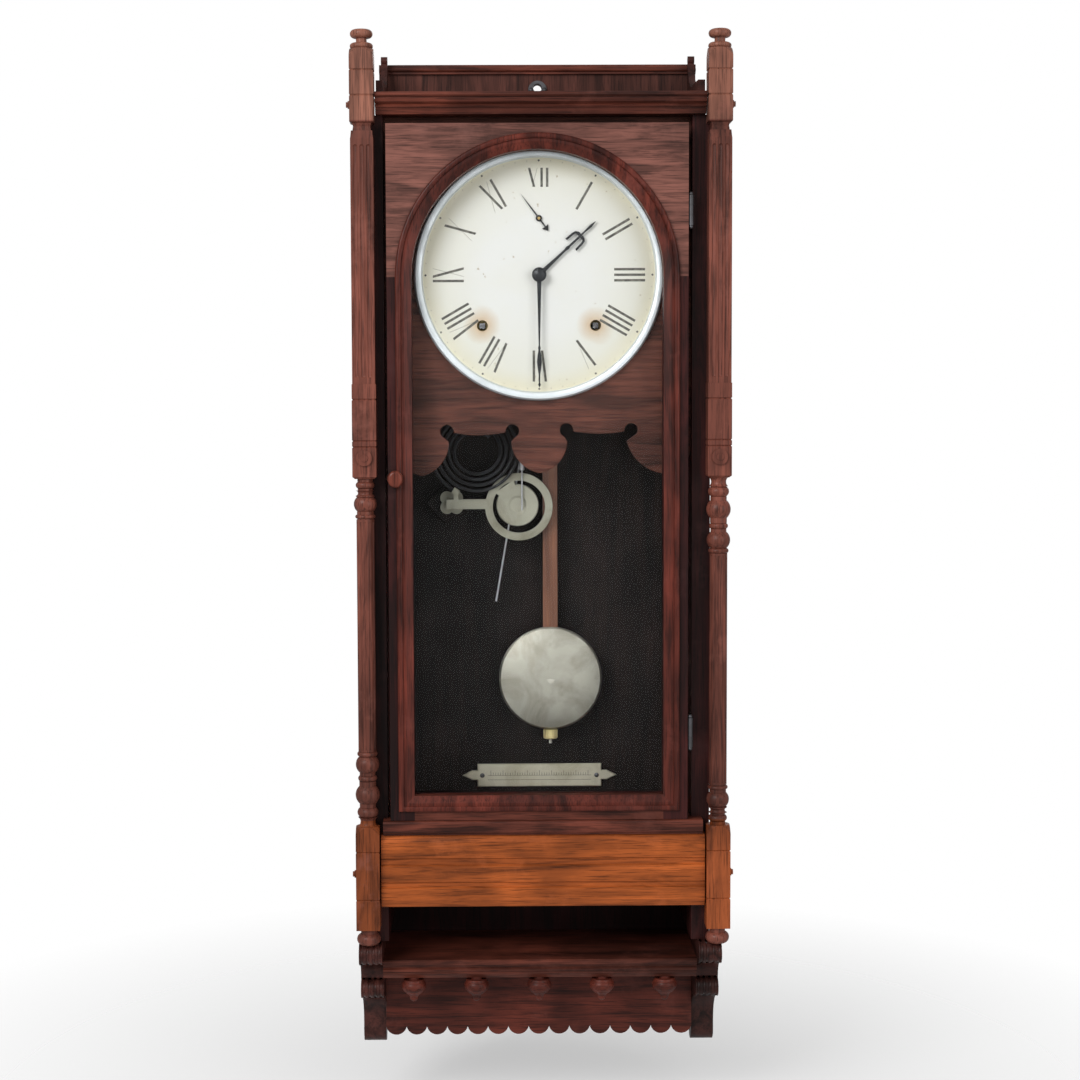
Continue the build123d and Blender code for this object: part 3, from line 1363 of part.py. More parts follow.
# Moulding round the glass: an outer bead and a slope down to the sight edge
with BuildPart() as door_moulding:
    bead_inner = moulding_width - bead_width
    with BuildSketch(front(door_front)) as bead_ring:
        add(sight_opening(0, moulding_width).moved(Location((0, -door_front, 0))))
        add(sight_opening(0, bead_inner).moved(Location((0, -door_front, 0))), mode=Mode.SUBTRACT)
    extrude(bead_ring.sketch, amount=moulding_height)
    fillet(door_moulding.faces().sort_by(Axis.Y)[0].edges(), radius=bead_width * 0.42)
    extrude(sight_opening(door_front, bead_inner), amount=moulding_height * 0.55)
    loft([sight_opening(door_front, 0).face(),
          sight_opening(door_front + moulding_height * 0.6, bead_inner * 0.8).face()], mode=Mode.SUBTRACT)
    pin(latch_place, (door_front, door_front + moulding_height), latch_spindle + run, mode=Mode.SUBTRACT)
save(door_moulding.part, "door_moulding")

# Glass in the rebate, and the beads that hold it
with BuildPart() as door_glass:
    extrude(sight_opening(glass_depth, rebate - slack), amount=-glass_thickness)
save(door_glass.part, "door_glass")

with BuildPart() as glass_beads:
    bead_front = glass_depth - glass_thickness
    extrude(sight_opening(bead_front, rebate - slack), amount=-bead_thickness)
    extrude(sight_opening(bead_front, 0), amount=-bead_thickness, mode=Mode.SUBTRACT)
save(glass_beads.part, "glass_beads")


# Hinges: the case leaf carries the pin and the end knuckles, the door leaf the middle knuckle
def upright(x, depth, zs, radius, mode=Mode.ADD):
    """Fill or cut an upright cylinder."""
    with Locations((x, -depth, sum(zs) / 2)):
        Cylinder(radius, abs(zs[1] - zs[0]), mode=mode)


knuckle_gap = 0.15
hinge_ball = 2.0
with BuildPart() as hinge_leaves_case:
    for z in hinge_heights:
        low, high = z - hinge_length / 2, z + hinge_length / 2
        third = hinge_length / 3
        slab((inner_right - hinge_leaf, inner_right), (side_depth - 15.0, hinge_depth), (low, high))
        slab((hinge_x - hinge_knuckle, inner_right), (side_depth - 16.0, hinge_depth + hinge_knuckle + 1),
             (low + third, high - third), mode=Mode.SUBTRACT)
        for zs in ((low, low + third), (high - third, high)):
            upright(hinge_x, hinge_depth, zs, hinge_knuckle)
        slab((inner_right - hinge_leaf, inner_right), (side_depth - 15.0, side_depth + 7.0),
             (low + third, high - third))
        upright(hinge_x, hinge_depth, (low, high), hinge_pin)
        with Locations((hinge_x, -hinge_depth, high + 1.2), (hinge_x, -hinge_depth, low - 1.2)):
            Sphere(hinge_ball)
save(hinge_leaves_case.part, "hinge_leaves_case")

with BuildPart() as hinge_leaves_door:
    for z in hinge_heights:
        low, high = z - hinge_length / 2, z + hinge_length / 2
        third = hinge_length / 3
        middle = (low + third + knuckle_gap, high - third - knuckle_gap)
        slab((door_right, door_right + hinge_leaf), (door_back, hinge_depth - hinge_knuckle - 0.6), (low, high))
        slab((door_right, door_right + hinge_leaf), (door_back, hinge_depth), middle)
        upright(hinge_x, hinge_depth, middle, hinge_knuckle)
        upright(hinge_x, hinge_depth, middle, hinge_pin + run, mode=Mode.SUBTRACT)
save(hinge_leaves_door.part, "hinge_leaves_door")

# Turn knob on the left stile, with its spindle and the tongue behind the door
tongue_thickness = 2.0
tongue_half = 3.0
tongue_gap = 0.4
knob_back = door_front + moulding_height + slack
with BuildPart() as door_latch:
    with BuildSketch(front(knob_back)):
        with Locations(latch_place):
            Ellipse(latch_width / 2, latch_height / 2)
    extrude(amount=latch_projection)
    fillet(door_latch.faces().sort_by(Axis.Y)[0].edges(), radius=2.6)
    pin(latch_place, (door_back - tongue_gap - tongue_thickness, knob_back), latch_spindle)
    with BuildSketch(front(door_back - tongue_gap)) as tongue:
        with Locations((latch_place[0] - (latch_reach - tongue_half) / 2, latch_place[1])):
            SlotOverall(latch_reach + tongue_half, 2 * tongue_half)
    extrude(tongue.sketch, amount=-tongue_thickness)
save(door_latch.part, "door_latch")
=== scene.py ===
import math

import bmesh
import bpy
from mathutils import Matrix, Vector


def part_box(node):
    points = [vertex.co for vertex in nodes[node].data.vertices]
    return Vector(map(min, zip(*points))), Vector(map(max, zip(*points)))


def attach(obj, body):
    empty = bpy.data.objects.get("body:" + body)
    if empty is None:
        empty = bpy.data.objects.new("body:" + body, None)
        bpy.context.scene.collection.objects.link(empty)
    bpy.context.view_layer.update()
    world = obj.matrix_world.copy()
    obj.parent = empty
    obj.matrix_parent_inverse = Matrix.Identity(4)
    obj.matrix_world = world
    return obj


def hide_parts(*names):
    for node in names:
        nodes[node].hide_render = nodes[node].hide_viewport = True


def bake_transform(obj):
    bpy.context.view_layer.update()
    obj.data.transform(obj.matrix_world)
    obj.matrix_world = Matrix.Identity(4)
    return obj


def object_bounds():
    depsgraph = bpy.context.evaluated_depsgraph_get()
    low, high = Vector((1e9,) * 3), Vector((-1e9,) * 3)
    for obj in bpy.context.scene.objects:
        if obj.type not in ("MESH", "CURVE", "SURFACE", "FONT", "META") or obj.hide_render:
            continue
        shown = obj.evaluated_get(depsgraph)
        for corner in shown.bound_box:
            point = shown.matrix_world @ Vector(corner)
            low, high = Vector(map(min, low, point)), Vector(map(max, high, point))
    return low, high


# A glazed wall clock with a coil gong. Metres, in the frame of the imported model.
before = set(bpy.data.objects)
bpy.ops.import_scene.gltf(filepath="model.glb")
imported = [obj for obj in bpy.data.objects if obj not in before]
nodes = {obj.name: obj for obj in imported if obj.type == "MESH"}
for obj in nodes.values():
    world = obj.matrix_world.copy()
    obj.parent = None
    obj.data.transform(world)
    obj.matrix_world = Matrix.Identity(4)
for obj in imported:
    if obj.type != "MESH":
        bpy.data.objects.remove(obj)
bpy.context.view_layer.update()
MM = 0.001

# Places on the model that the markings follow
dial_centre = Vector((-1.5, 0.0, -178.0)) * MM
dial_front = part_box("dial_plate")[0][1]
winding_holes = [Vector((x, 0.0, -222.6)) * MM for x in (48.7, -52.0)]


# Shader helpers

class Shader:
    """A new material whose nodes are added and joined by name."""

    def __init__(self, name):
        self.material = bpy.data.materials.new(name)
        self.material.use_nodes = True
        self.tree = self.material.node_tree
        self.surface = self.tree.nodes["Principled BSDF"]
        self.place = self.add("ShaderNodeTexCoord").outputs["Object"]

    def add(self, kind, **settings):
        node = self.tree.nodes.new(kind)
        for key, value in settings.items():
            setattr(node, key, value)
        return node

    def join(self, source, target):
        self.tree.links.new(source, target)

    def put(self, **values):
        """Set sockets of the surface shader; underscores stand for spaces."""
        for key, value in values.items():
            self.surface.inputs[key.replace("_", " ")].default_value = value

    def stretched(self, scale, shift=(0.0, 0.0, 0.0)):
        """Object coordinates, stretched and moved."""
        node = self.add("ShaderNodeMapping")
        node.inputs["Scale"].default_value = scale
        node.inputs["Location"].default_value = shift
        self.join(self.place, node.inputs["Vector"])
        return node.outputs["Vector"]

    def noise(self, vector, scale=1.0, detail=4.0, roughness=0.55, distortion=0.0):
        node = self.add("ShaderNodeTexNoise")
        self.join(vector, node.inputs["Vector"])
        for key, value in (("Scale", scale), ("Detail", detail), ("Roughness", roughness),
                           ("Distortion", distortion)):
            node.inputs[key].default_value = value
        return node.outputs["Fac"]

    def ramp(self, factor, *stops):
        """Colours or grey levels along a factor, as (position, value) stops."""
        node = self.add("ShaderNodeValToRGB")
        self.join(factor, node.inputs["Fac"])
        band = node.color_ramp
        while len(band.elements) < len(stops):
            band.elements.new(0.5)
        for element, (position, value) in zip(band.elements, stops):
            element.position = position
            element.color = (*value, 1.0) if isinstance(value, tuple) else (value,) * 3 + (1.0,)
        return node.outputs["Color"]

    def mix(self, factor, a, b, blend="MIX"):
        """Mix two colours, each a socket or a constant."""
        node = self.add("ShaderNodeMix", data_type="RGBA", blend_type=blend)
        for key, value in (("Factor", factor), ("A", a), ("B", b)):
            socket = node.inputs[key]
            if isinstance(value, (int, float)):
                socket.default_value = value
            elif isinstance(value, tuple):
                socket.default_value = (*value, 1.0)
            else:
                self.join(value, socket)
        return node.outputs["Result"]

    def math(self, operation, a, b=None):
        node = self.add("ShaderNodeMath", operation=operation)
        for value, socket in zip((a, b), node.inputs):
            if isinstance(value, (int, float)):
                socket.default_value = value
            elif value is not None:
                self.join(value, socket)
        return node.outputs[0]

    def axes(self):
        """The X, Y and Z of the object coordinates, as separate sockets."""
        split = self.add("ShaderNodeSeparateXYZ")
        self.join(self.place, split.inputs[0])
        return split.outputs

    def distance_from(self, point):
        """Distance in the plane of the dial from a point, in metres."""
        axes = self.axes()
        across = self.math("SUBTRACT", axes["X"], point.x)
        up = self.math("SUBTRACT", axes["Z"], point.z)
        squares = self.math("ADD", self.math("MULTIPLY", across, across), self.math("MULTIPLY", up, up))
        return self.math("SQRT", squares)

    def bump(self, height, strength, distance=0.0004):
        node = self.add("ShaderNodeBump")
        node.inputs["Strength"].default_value = strength
        node.inputs["Distance"].default_value = distance
        self.join(height, node.inputs["Height"])
        self.join(node.outputs["Normal"], self.surface.inputs["Normal"])

    def see_through(self, factor):
        """Mix the surface with clear transparency by a factor."""
        clear = self.add("ShaderNodeBsdfTransparent")
        mixed = self.add("ShaderNodeMixShader")
        self.join(factor, mixed.inputs["Fac"])
        self.join(self.surface.outputs[0], mixed.inputs[1])
        self.join(clear.outputs[0], mixed.inputs[2])
        self.join(mixed.outputs[0], self.tree.nodes["Material Output"].inputs["Surface"])

    def colour(self, socket):
        self.join(socket, self.surface.inputs["Base Color"])

    def rough(self, socket):
        self.join(socket, self.surface.inputs["Roughness"])


# Materials

def wood(name, middle, along, figure=1.0, gloss=0.42, wear=0.35, seed=0.0, contrast=1.0, zones=()):
    """Varnished wood: long grain, broad figure, open pores, and paler rubbed patches.

    The grain runs along one axis. Zones are (bottom, top, colour) bands of height in
    millimetres whose middle colour differs."""
    shader = Shader(name)
    grain_scale = [5.0 * figure if axis == along else 46.0 * figure for axis in "XYZ"]
    pore_scale = [30.0 if axis == along else 900.0 for axis in "XYZ"]
    shift = (seed, seed * 1.7, seed * 0.6)
    grain = shader.noise(shader.stretched(grain_scale, shift), 1.0, 7.0, 0.62, 1.4)
    figure_cloud = shader.noise(shader.stretched((9.0, 9.0, 9.0), shift), 1.0, 3.0, 0.5, 0.6)
    pores = shader.noise(shader.stretched(pore_scale, shift), 1.0, 3.0, 0.6)
    body = middle
    for bottom, top, colour in zones:
        height = shader.axes()["Z"]
        above = shader.math("GREATER_THAN", height, bottom * MM)
        below = shader.math("LESS_THAN", height, top * MM)
        body = shader.mix(shader.math("MULTIPLY", above, below), body, colour)
    streaks = shader.ramp(grain, (0.38, 1.0 - 0.6 * contrast), (0.50, 1.0), (0.62, 1.0 + 0.5 * contrast))
    body = shader.mix(1.0, body, streaks, "MULTIPLY")
    clouds = shader.ramp(figure_cloud, (0.42, 1.12), (0.60, 1.0 - 0.4 * contrast))
    body = shader.mix(1.0, body, clouds, "MULTIPLY")
    body = shader.mix(1.0, body, shader.ramp(pores, (0.38, 0.5), (0.47, 1.0)), "MULTIPLY")
    rubbed = shader.noise(shader.stretched((17.0, 17.0, 17.0), shift), 1.0, 6.0, 0.7)
    paler = tuple(min(1.0, 1.7 * c + 0.02) for c in middle)
    shader.colour(shader.mix(shader.ramp(rubbed, (0.56, 0.0), (0.72, wear)), body, paler))
    shader.rough(shader.ramp(figure_cloud, (0.3, gloss), (0.8, gloss + 0.22)))
    shader.put(Coat_Weight=0.06, Coat_Roughness=0.2, Specular_IOR_Level=0.2)
    shader.bump(shader.math("ADD", grain, shader.math("MULTIPLY", pores, 0.4)), 0.16)
    return shader.material


def metal(name, base, tarnish, gloss, marks_scale=(300.0, 300.0, 300.0), metallic=1.0):
    """Metal with fine working marks and patches of tarnish."""
    shader = Shader(name)
    marks = shader.noise(shader.stretched(marks_scale), 1.0, 4.0, 0.6)
    patches = shader.noise(shader.stretched((25.0, 25.0, 25.0)), 1.0, 5.0, 0.6, 0.8)
    shader.colour(shader.mix(shader.ramp(patches, (0.42, 0.0), (0.72, 0.85)), base, tarnish))
    shader.rough(shader.ramp(patches, (0.3, gloss), (0.8, min(0.9, gloss + 0.28))))
    shader.put(Metallic=metallic)
    shader.bump(marks, 0.12, 0.0002)
    return shader.material


def dial_material():
    """Aged cream paint: yellow towards the rim, stains round the winding holes, small specks."""
    shader = Shader("dial_paint")
    radius = shader.distance_from(dial_centre)
    cloud = shader.noise(shader.stretched((28.0, 28.0, 28.0)), 1.0, 5.0, 0.6, 0.5)
    cream, pale, amber = (0.86, 0.85, 0.76), (0.90, 0.90, 0.87), (0.80, 0.74, 0.52)
    ring = shader.ramp(shader.math("MULTIPLY", radius, 9.0), (0.45, pale), (0.78, cream), (0.97, amber))
    colour = shader.mix(shader.ramp(cloud, (0.40, 0.0), (0.78, 0.5)), ring, cream)
    for hole in winding_holes:
        near = shader.math("MULTIPLY", shader.distance_from(hole), 30.0)
        halo = shader.ramp(shader.math("ADD", near, shader.math("MULTIPLY", cloud, 0.35)),
                           (0.26, 0.75), (0.70, 0.0))
        colour = shader.mix(halo, colour, (0.62, 0.38, 0.15))
    specks = shader.noise(shader.stretched((230.0, 230.0, 230.0)), 1.0, 2.0, 0.5)
    shader.colour(shader.mix(shader.ramp(specks, (0.22, 0.7), (0.27, 0.0)), colour, (0.45, 0.36, 0.22)))
    shader.rough(shader.ramp(cloud, (0.3, 0.38), (0.8, 0.55)))
    shader.bump(cloud, 0.08)
    return shader.material


def glass_material():
    """Clear window glass that lets light through to what is behind it.

    Its low index keeps the pane's glare as faint as in the photograph."""
    shader = Shader("window_glass")
    shader.put(Transmission_Weight=1.0, Roughness=0.0, IOR=1.12, Base_Color=(0.97, 0.985, 0.98, 1.0))
    rays = shader.add("ShaderNodeLightPath")
    shader.see_through(shader.math("MAXIMUM", rays.outputs["Is Shadow Ray"],
                                   rays.outputs["Is Diffuse Ray"]))
    return shader.material


def rod_material():
    """The pendulum's wooden rod, with bright steel where its threaded stem begins."""
    shader = Shader("rod_wood_and_stem")
    rod_end = -508.0 * MM
    is_stem = shader.math("LESS_THAN", shader.axes()["Z"], rod_end)
    grain = shader.noise(shader.stretched((80.0, 80.0, 7.0)), 1.0, 6.0, 0.6, 1.0)
    brown = shader.ramp(grain, (0.3, (0.085, 0.030, 0.018)), (0.7, (0.26, 0.105, 0.055)))
    thread = shader.add("ShaderNodeTexWave", wave_type="BANDS", bands_direction="Z")
    shader.join(shader.place, thread.inputs["Vector"])
    thread.inputs["Scale"].default_value = 320.0
    shader.colour(shader.mix(is_stem, brown, (0.55, 0.53, 0.48)))
    shader.join(is_stem, shader.surface.inputs["Metallic"])
    shader.rough(shader.ramp(grain, (0.3, 0.35), (0.8, 0.5)))
    shader.bump(shader.math("MULTIPLY", thread.outputs["Fac"], is_stem), 0.4)
    return shader.material


# Heights in millimetres and colours that change along a piece. The backboard's bands are painted light
# and shade: paler at the top, where the board stands lit above the cornice, and darker still low in the
# case.
post_blocks = (
    (-46.0, 40.0, (0.255, 0.100, 0.066)),
    (-760.0, -661.0, (0.280, 0.068, 0.020)),
)
backboard_light_and_shade_bands = (
    (-30.0, 40.0, (0.107, 0.036, 0.026)),
    (-800.0, -735.0, (0.018, 0.002, 0.002)),
)

case_up = wood("case_wood_upright", (0.038, 0.007, 0.006), "Z")
case_across = wood("case_wood_across", (0.120, 0.030, 0.018), "X", seed=3.0)
case_deep = wood("case_wood_deep", (0.058, 0.018, 0.014), "Y", gloss=0.32, seed=5.0)
moulding_wood = wood("moulding_wood", (0.120, 0.024, 0.015), "Z",
                     figure=1.3, gloss=0.30, wear=0.6, seed=9.0)
veneer = wood("mottled_veneer", (0.190, 0.074, 0.056), "X",
              figure=2.4, gloss=0.40, wear=0.3, seed=11.0, contrast=0.7)
mask_wood = wood("mask_board_wood", (0.109, 0.036, 0.024), "X",
                 figure=1.6, gloss=0.45, wear=0.2, seed=13.0, contrast=0.9)
panel_wood = wood("base_panel_wood", (0.380, 0.088, 0.018), "X",
                  gloss=0.34, wear=0.4, seed=15.0, contrast=0.8)
post_wood = wood("post_wood", (0.178, 0.055, 0.037), "Z",
                 figure=1.2, gloss=0.36, wear=0.6, seed=17.0, contrast=0.8, zones=post_blocks)
apron_wood = wood("apron_wood", (0.100, 0.020, 0.012), "X",
                  figure=1.4, wear=0.4, seed=18.0, contrast=0.8)
# The backboard's nearly black middle colour is painted shade of the inside of the case; its bands add
# painted light at the top and deeper painted shade low down.
back_wood = wood("back_wood", (0.0075, 0.0035, 0.0028), "Z",
                 gloss=0.6, wear=0.1, seed=19.0, contrast=0.8, zones=backboard_light_and_shade_bands)
knob_wood = wood("knob_wood", (0.20, 0.050, 0.032), "Z",
                 figure=3.0, gloss=0.16, wear=0.3, seed=21.0, contrast=0.6)

# Metals: clean colour, tarnished colour, roughness
steel = metal("grey_steel", (0.42, 0.42, 0.44), (0.16, 0.15, 0.15), 0.34)
dark_steel = metal("dark_steel", (0.14, 0.14, 0.15), (0.05, 0.045, 0.04), 0.42)
brass = metal("aged_brass", (0.62, 0.46, 0.20), (0.30, 0.20, 0.09), 0.30)
nut_brass = metal("nut_brass", (0.72, 0.62, 0.33), (0.36, 0.27, 0.13), 0.26)
nickel = metal("satin_nickel", (0.38, 0.365, 0.315), (0.20, 0.185, 0.15), 0.34,
               marks_scale=(900.0, 900.0, 40.0))
plate_metal = metal("beat_plate_metal", (0.62, 0.59, 0.47), (0.40, 0.36, 0.25), 0.45,
                    marks_scale=(40.0, 900.0, 900.0), metallic=0.6)
ring_metal = metal("dial_ring_metal", (0.76, 0.80, 0.83), (0.60, 0.64, 0.66), 0.36, metallic=0.35)
cast_metal = metal("cast_bracket_paint", (0.36, 0.35, 0.28), (0.17, 0.15, 0.10), 0.5, metallic=0.35)
black_wire = metal("blued_gong_wire", (0.022, 0.022, 0.025), (0.010, 0.009, 0.008), 0.34,
                   metallic=0.4)
hand_blue = metal("blackened_hands", (0.030, 0.032, 0.036), (0.012, 0.011, 0.010), 0.30,
                  metallic=0.6)

finish = {
    case_up: "side_left side_right door_stiles glass_beads",
    case_across: "cornice_board sill_board crest_rail console_shelf door_bottom_rail",
    case_deep: "gallery_scrolls brackets",
    moulding_wood: "door_moulding",
    veneer: "door_head",
    mask_wood: "dial_board dial_apron",
    panel_wood: "base_panel",
    post_wood: "post_left post_right post_finials post_bosses",
    apron_wood: "shelf_drops scalloped_apron",
    back_wood: "backboard gong_block",
    rod_material(): "pendulum_rod",
    steel: "verge hammer trip_lever suspension_spring",
    dark_steel: "going_winding_arbor strike_winding_arbor hinge_leaves_case hinge_leaves_door "
                "hanger_plate round_head_screws",
    brass: "front_plate back_plate movement_pillars going_barrel strike_barrel second_wheel centre_wheel "
           "third_wheel escape_wheel minute_wheel hour_wheel strike_wheel strike_fly",
    nut_brass: "rating_nut",
    nickel: "pendulum_bob",
    plate_metal: "beat_scale",
    ring_metal: "dial_ring",
    cast_metal: "gong_bracket",
    black_wire: "gong_coil",
    dial_material(): "dial_plate",
    hand_blue: "hour_hand minute_hand seconds_hand",
    knob_wood: "door_latch",
    glass_material(): "door_glass",
}
for material, names in finish.items():
    for name in names.split():
        mesh = nodes[name].data
        mesh.materials.clear()
        mesh.materials.append(material)


# Markings: worn Roman numerals, minute dots and graduations, as thin plates on what carries them

def ink_material(name, colour):
    """Printing ink that has worn thin in patches."""
    shader = Shader(name)
    cloud = shader.noise(shader.stretched((420.0, 420.0, 420.0)), 1.0, 3.0, 0.6)
    shader.colour(shader.mix(shader.ramp(cloud, (0.40, 0.0), (0.75, 0.5)), colour, (0.42, 0.40, 0.33)))
    shader.put(Roughness=0.6)
    return shader.material


ink = ink_material("worn_ink", (0.075, 0.072, 0.062))
faint_ink = ink_material("faint_ink", (0.34, 0.32, 0.26))
numerals = ["XII", "I", "II", "III", "IIII", "V", "VI", "VII", "VIII", "IX", "X", "XI"]
# Millimetres. The XII has lost its inner part, so it starts further out than the others.
numeral_inner, numeral_outer = 66.7, 94.2
worn_inner = {0: 77.5}
thick, thin = 2.15, 0.35
letter_width = {"I": 4.9, "V": 9.6, "X": 10.0}
dot_circle = 100.7


def new_mesh(name, build, material, body="root"):
    """Make a piece from a function that fills a bmesh. Without a body, it is left unattached."""
    mesh = bpy.data.meshes.new(name)
    geometry = bmesh.new()
    build(geometry)
    bmesh.ops.recalc_face_normals(geometry, faces=geometry.faces)
    geometry.to_mesh(mesh)
    geometry.free()
    mesh.materials.append(material)
    piece = bpy.data.objects.new(name, mesh)
    bpy.context.collection.objects.link(piece)
    if body:
        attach(piece, body)
    return piece


def join_rings(geometry, first, second):
    """Four-sided faces between two rings with the same number of vertices."""
    count = len(first)
    for i in range(count):
        j = (i + 1) % count
        geometry.faces.new((first[i], first[j], second[j], second[i]))


def plate(geometry, outline, face=dial_front, depth=0.06):
    """A thin closed plate standing on a flat face, from (x, z) points in millimetres."""
    layers = []
    for y in (face, face - depth * MM):
        layers.append([geometry.verts.new((x * MM, y, z * MM)) for x, z in outline])
    back, front = layers
    geometry.faces.new(back)
    geometry.faces.new(front[::-1])
    join_rings(geometry, back, front)


def on_dial(angle, across, out):
    """A point of the dial from a clockwise angle, a distance to its right and one outward."""
    a = math.radians(angle)
    x = dial_centre.x / MM + out * math.sin(a) + across * math.cos(a)
    z = dial_centre.z / MM + out * math.cos(a) - across * math.sin(a)
    return (x, z)


def stroke(geometry, angle, foot, head, width, inner=numeral_inner):
    """One stroke of a numeral between its inner and outer ends, given across the numeral."""
    foot += (head - foot) * (inner - numeral_inner) / (numeral_outer - numeral_inner)
    corners = [(foot - width / 2, inner), (foot + width / 2, inner),
               (head + width / 2, numeral_outer), (head - width / 2, numeral_outer)]
    plate(geometry, [on_dial(angle, across, out) for across, out in corners])


def numeral_strokes(heavy):
    """A builder of all the heavy strokes, or of all the light ones."""
    line = thick if heavy else thin

    def build(geometry):
        for hour, letters in enumerate(numerals):
            angle = 30.0 * hour
            left = -sum(letter_width[c] for c in letters) / 2
            inner = worn_inner.get(hour, numeral_inner)
            for letter in letters:
                width = letter_width[letter]
                middle = left + width / 2
                lean = width * 0.36
                side = lean if heavy else -lean
                if letter == "I" and heavy:
                    stroke(geometry, angle, middle, middle, line, inner)
                elif letter == "V":
                    stroke(geometry, angle, middle, middle - side, line, inner)
                elif letter == "X":
                    stroke(geometry, angle, middle + side, middle - side, line, inner)
                left += width
    return build


def minute_dots(geometry):
    """Sixty small dots, with a larger one at every fifth minute."""
    large, small, sides = 0.95, 0.32, 10
    for i in range(60):
        size = small if i % 5 else large
        x, z = on_dial(6.0 * i, 0.0, dot_circle)
        corners = [math.tau * k / sides for k in range(sides)]
        plate(geometry, [(x + size * math.cos(a), z + size * math.sin(a)) for a in corners])


def bar(geometry, left, right, bottom, top, face):
    """A thin upright rectangle on a flat face, in millimetres."""
    plate(geometry, [(left, bottom), (right, bottom), (right, top), (left, top)], face)


def beat_marks(geometry):
    """Fine graduations over two long lines, on the front of the beat scale."""
    pitch, tall, short, half_width = 2.3, 4.6, 2.6, 0.2
    line_half, line_below, line_above, line_drop = 49.0, 0.2, 0.15, 4.2
    low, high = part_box("beat_scale")
    face, z = low[1], (low[2] + high[2]) / 2 / MM
    middle_x = (low[0] + high[0]) / 2 / MM
    for i in range(-20, 21):
        x, rise = middle_x + pitch * i, short if i % 5 else tall
        bar(geometry, x - half_width, x + half_width, z, z + rise, face)
    for level in (z, z - line_drop):
        bar(geometry, middle_x - line_half, middle_x + line_half, level - line_below,
            level + line_above, face)


new_mesh("dial_numerals", numeral_strokes(True), ink)
new_mesh("beat_scale_marks", beat_marks, ink, "root")
new_mesh("dial_numerals_thin", numeral_strokes(False), faint_ink)
new_mesh("minute_dots", minute_dots, ink)


# Collet of the minute hand

def dome(geometry):
    """A domed cap over the end of the arbor. Its sizes are in metres."""
    rings, sides = 7, 32
    start, radius, rise = 0.1132, 0.0062, 0.0026
    previous = None
    for i in range(rings):
        tilt = math.pi / 2 * i / rings
        r, y = radius * math.cos(tilt), -start - rise * math.sin(tilt)
        turns = [math.tau * k / sides for k in range(sides)]
        ring = [geometry.verts.new((dial_centre.x + r * math.cos(a), y, dial_centre.z + r * math.sin(a)))
                for a in turns]
        if previous is None:
            geometry.faces.new(ring)
        else:
            join_rings(geometry, previous, ring)
        previous = ring
    tip = geometry.verts.new((dial_centre.x, -start - rise, dial_centre.z))
    for k, vertex in enumerate(previous):
        geometry.faces.new((vertex, previous[(k + 1) % sides], tip))


cap = new_mesh("hand_collet_cap", dome, hand_blue, "minute")
for polygon in cap.data.polygons:
    polygon.use_smooth = True


# Suspension spring

def spring_strip(geometry):
    """The spring's own strip, in many short lengths."""
    low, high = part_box("suspension_spring")
    corners = ((low[0], low[1]), (high[0], low[1]), (high[0], high[1]), (low[0], high[1]))
    lengths = 40
    previous = None
    for i in range(lengths + 1):
        z = low[2] + (high[2] - low[2]) * i / lengths
        ring = [geometry.verts.new((x, y, z)) for x, y in corners]
        if previous is None:
            geometry.faces.new(ring)
        else:
            join_rings(geometry, previous, ring)
        previous = ring
    geometry.faces.new(previous[::-1])


spring = new_mesh("suspension_spring_strip", spring_strip, steel, None)
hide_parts("suspension_spring")
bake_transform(spring)

# Floor: pale paper that fades into the white background, so that no horizon shows
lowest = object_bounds()[0][2]
reach, floor_drop = 30.0, 0.06
floor_mesh = bpy.data.meshes.new("studio_floor")
floor_mesh.from_pydata([(-reach, -reach, 0), (reach, -reach, 0), (reach, reach, 0), (-reach, reach, 0)],
                       [], [(0, 1, 2, 3)])
floor = bpy.data.objects.new("studio_floor", floor_mesh)
floor.location.z = lowest - floor_drop
bpy.context.collection.objects.link(floor)
paper = Shader("floor_paper")
paper.put(Base_Color=(0.88, 0.88, 0.88, 1.0), Roughness=0.9)
length = paper.add("ShaderNodeVectorMath", operation="LENGTH")
paper.join(paper.place, length.inputs[0])
paper.see_through(paper.ramp(length.outputs["Value"], (0.12, 0.25), (0.75, 1.0)))
floor_mesh.materials.append(paper.material)

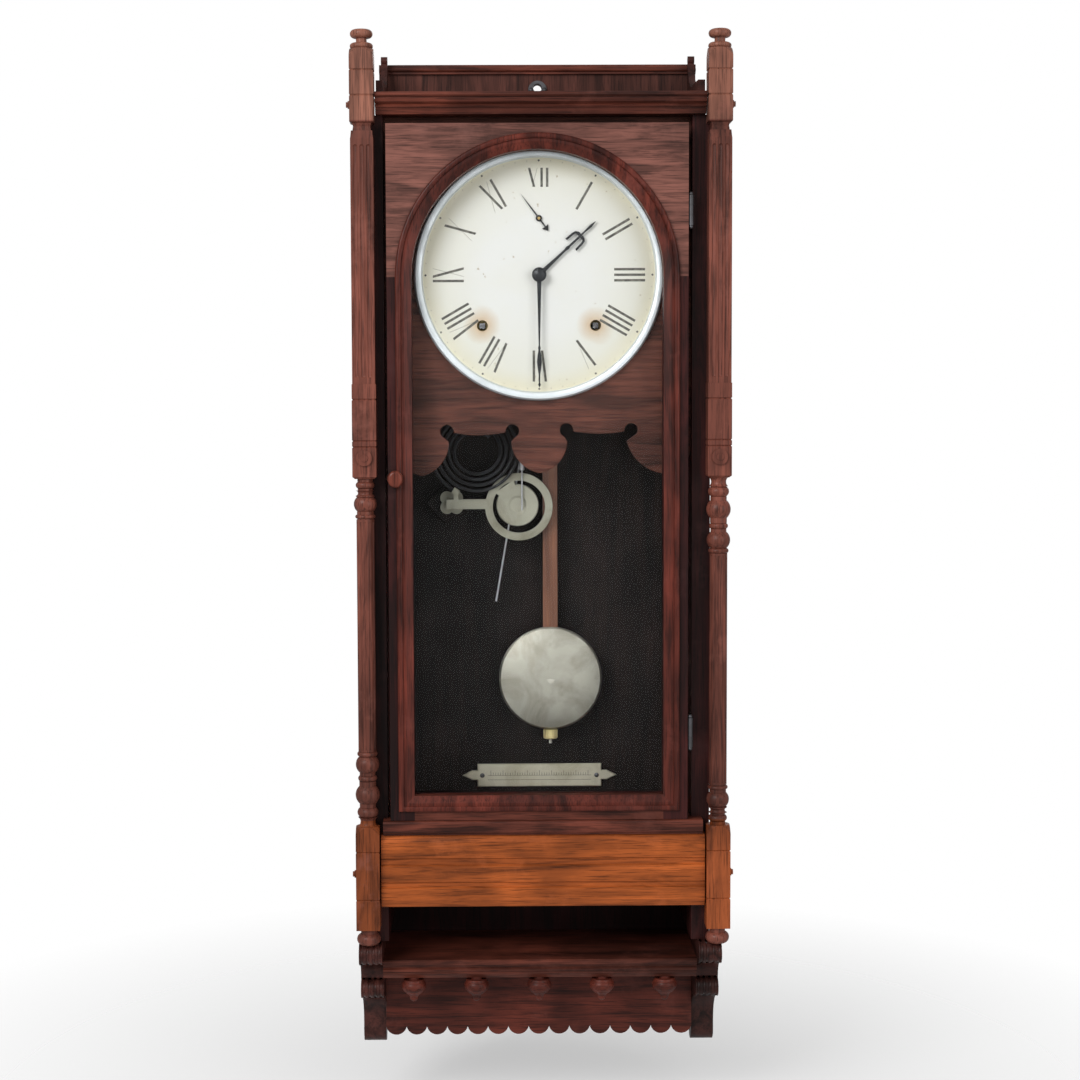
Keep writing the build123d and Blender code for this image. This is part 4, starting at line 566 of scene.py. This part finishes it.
# World: white to the camera and through the glass, and softer as a light
lit_level, seen_level = 0.42, 1.0
world = bpy.data.worlds.new("studio")
world.use_nodes = True
bpy.context.scene.world = world
tree = world.node_tree
background = tree.nodes["Background"]
background.inputs["Color"].default_value = (1.0, 1.0, 1.0, 1.0)
paths = tree.nodes.new("ShaderNodeLightPath")
seen = tree.nodes.new("ShaderNodeMath")
seen.operation = "MAXIMUM"
tree.links.new(paths.outputs["Is Camera Ray"], seen.inputs[0])
tree.links.new(paths.outputs["Is Transmission Ray"], seen.inputs[1])
level = tree.nodes.new("ShaderNodeMapRange")
tree.links.new(seen.outputs[0], level.inputs["Value"])
level.inputs["To Min"].default_value = lit_level
level.inputs["To Max"].default_value = seen_level
tree.links.new(level.outputs["Result"], background.inputs["Strength"])


def area_light(name, place, target, size, power):
    """A soft square lamp that faces a point."""
    lamp = bpy.data.lights.new(name, "AREA")
    lamp.shape = "SQUARE"
    lamp.size = size
    lamp.energy = power
    holder = bpy.data.objects.new(name, lamp)
    holder.location = place
    way = Vector(target) - Vector(place)
    holder.rotation_euler = way.to_track_quat("-Z", "Y").to_euler()
    bpy.context.collection.objects.link(holder)


case_middle = (0.0, 0.0, -0.42)
area_light("key_light", (-1.5, -2.2, 0.9), case_middle, 1.3, 45.0)
area_light("fill_light", (1.8, -2.3, 0.1), case_middle, 1.6, 16.0)
area_light("back_light", (0.6, 2.4, 0.9), case_middle, 1.6, 16.0)

# Camera: fitted to the straight edges of the case in the photograph
camera_place = Vector((-49.43, -1936.32, -289.53)) * MM
yaw, pitch, roll = math.radians(0.527), math.radians(3.874), math.radians(0.229)
focal_pixels, picture_pixels, shift_pixels, sensor = 2050.0, 1080.0, 35.0, 36.0
forward = Vector((math.sin(yaw) * math.cos(pitch), math.cos(yaw) * math.cos(pitch), -math.sin(pitch)))
level_right = Vector((math.cos(yaw), -math.sin(yaw), 0.0))
level_up = level_right.cross(forward)
right = level_right * math.cos(roll) - level_up * math.sin(roll)
up = level_right * math.sin(roll) + level_up * math.cos(roll)
camera_data = bpy.data.cameras.new("camera")
camera_data.sensor_width = sensor
camera_data.lens = focal_pixels / picture_pixels * sensor
camera_data.shift_x = shift_pixels / picture_pixels
camera = bpy.data.objects.new("camera", camera_data)
camera.matrix_world = Matrix((
    (right.x, up.x, -forward.x, camera_place.x),
    (right.y, up.y, -forward.y, camera_place.y),
    (right.z, up.z, -forward.z, camera_place.z),
    (0.0, 0.0, 0.0, 1.0),
))
bpy.context.collection.objects.link(camera)
bpy.context.scene.camera = camera
bpy.context.scene.view_settings.view_transform = "Standard"
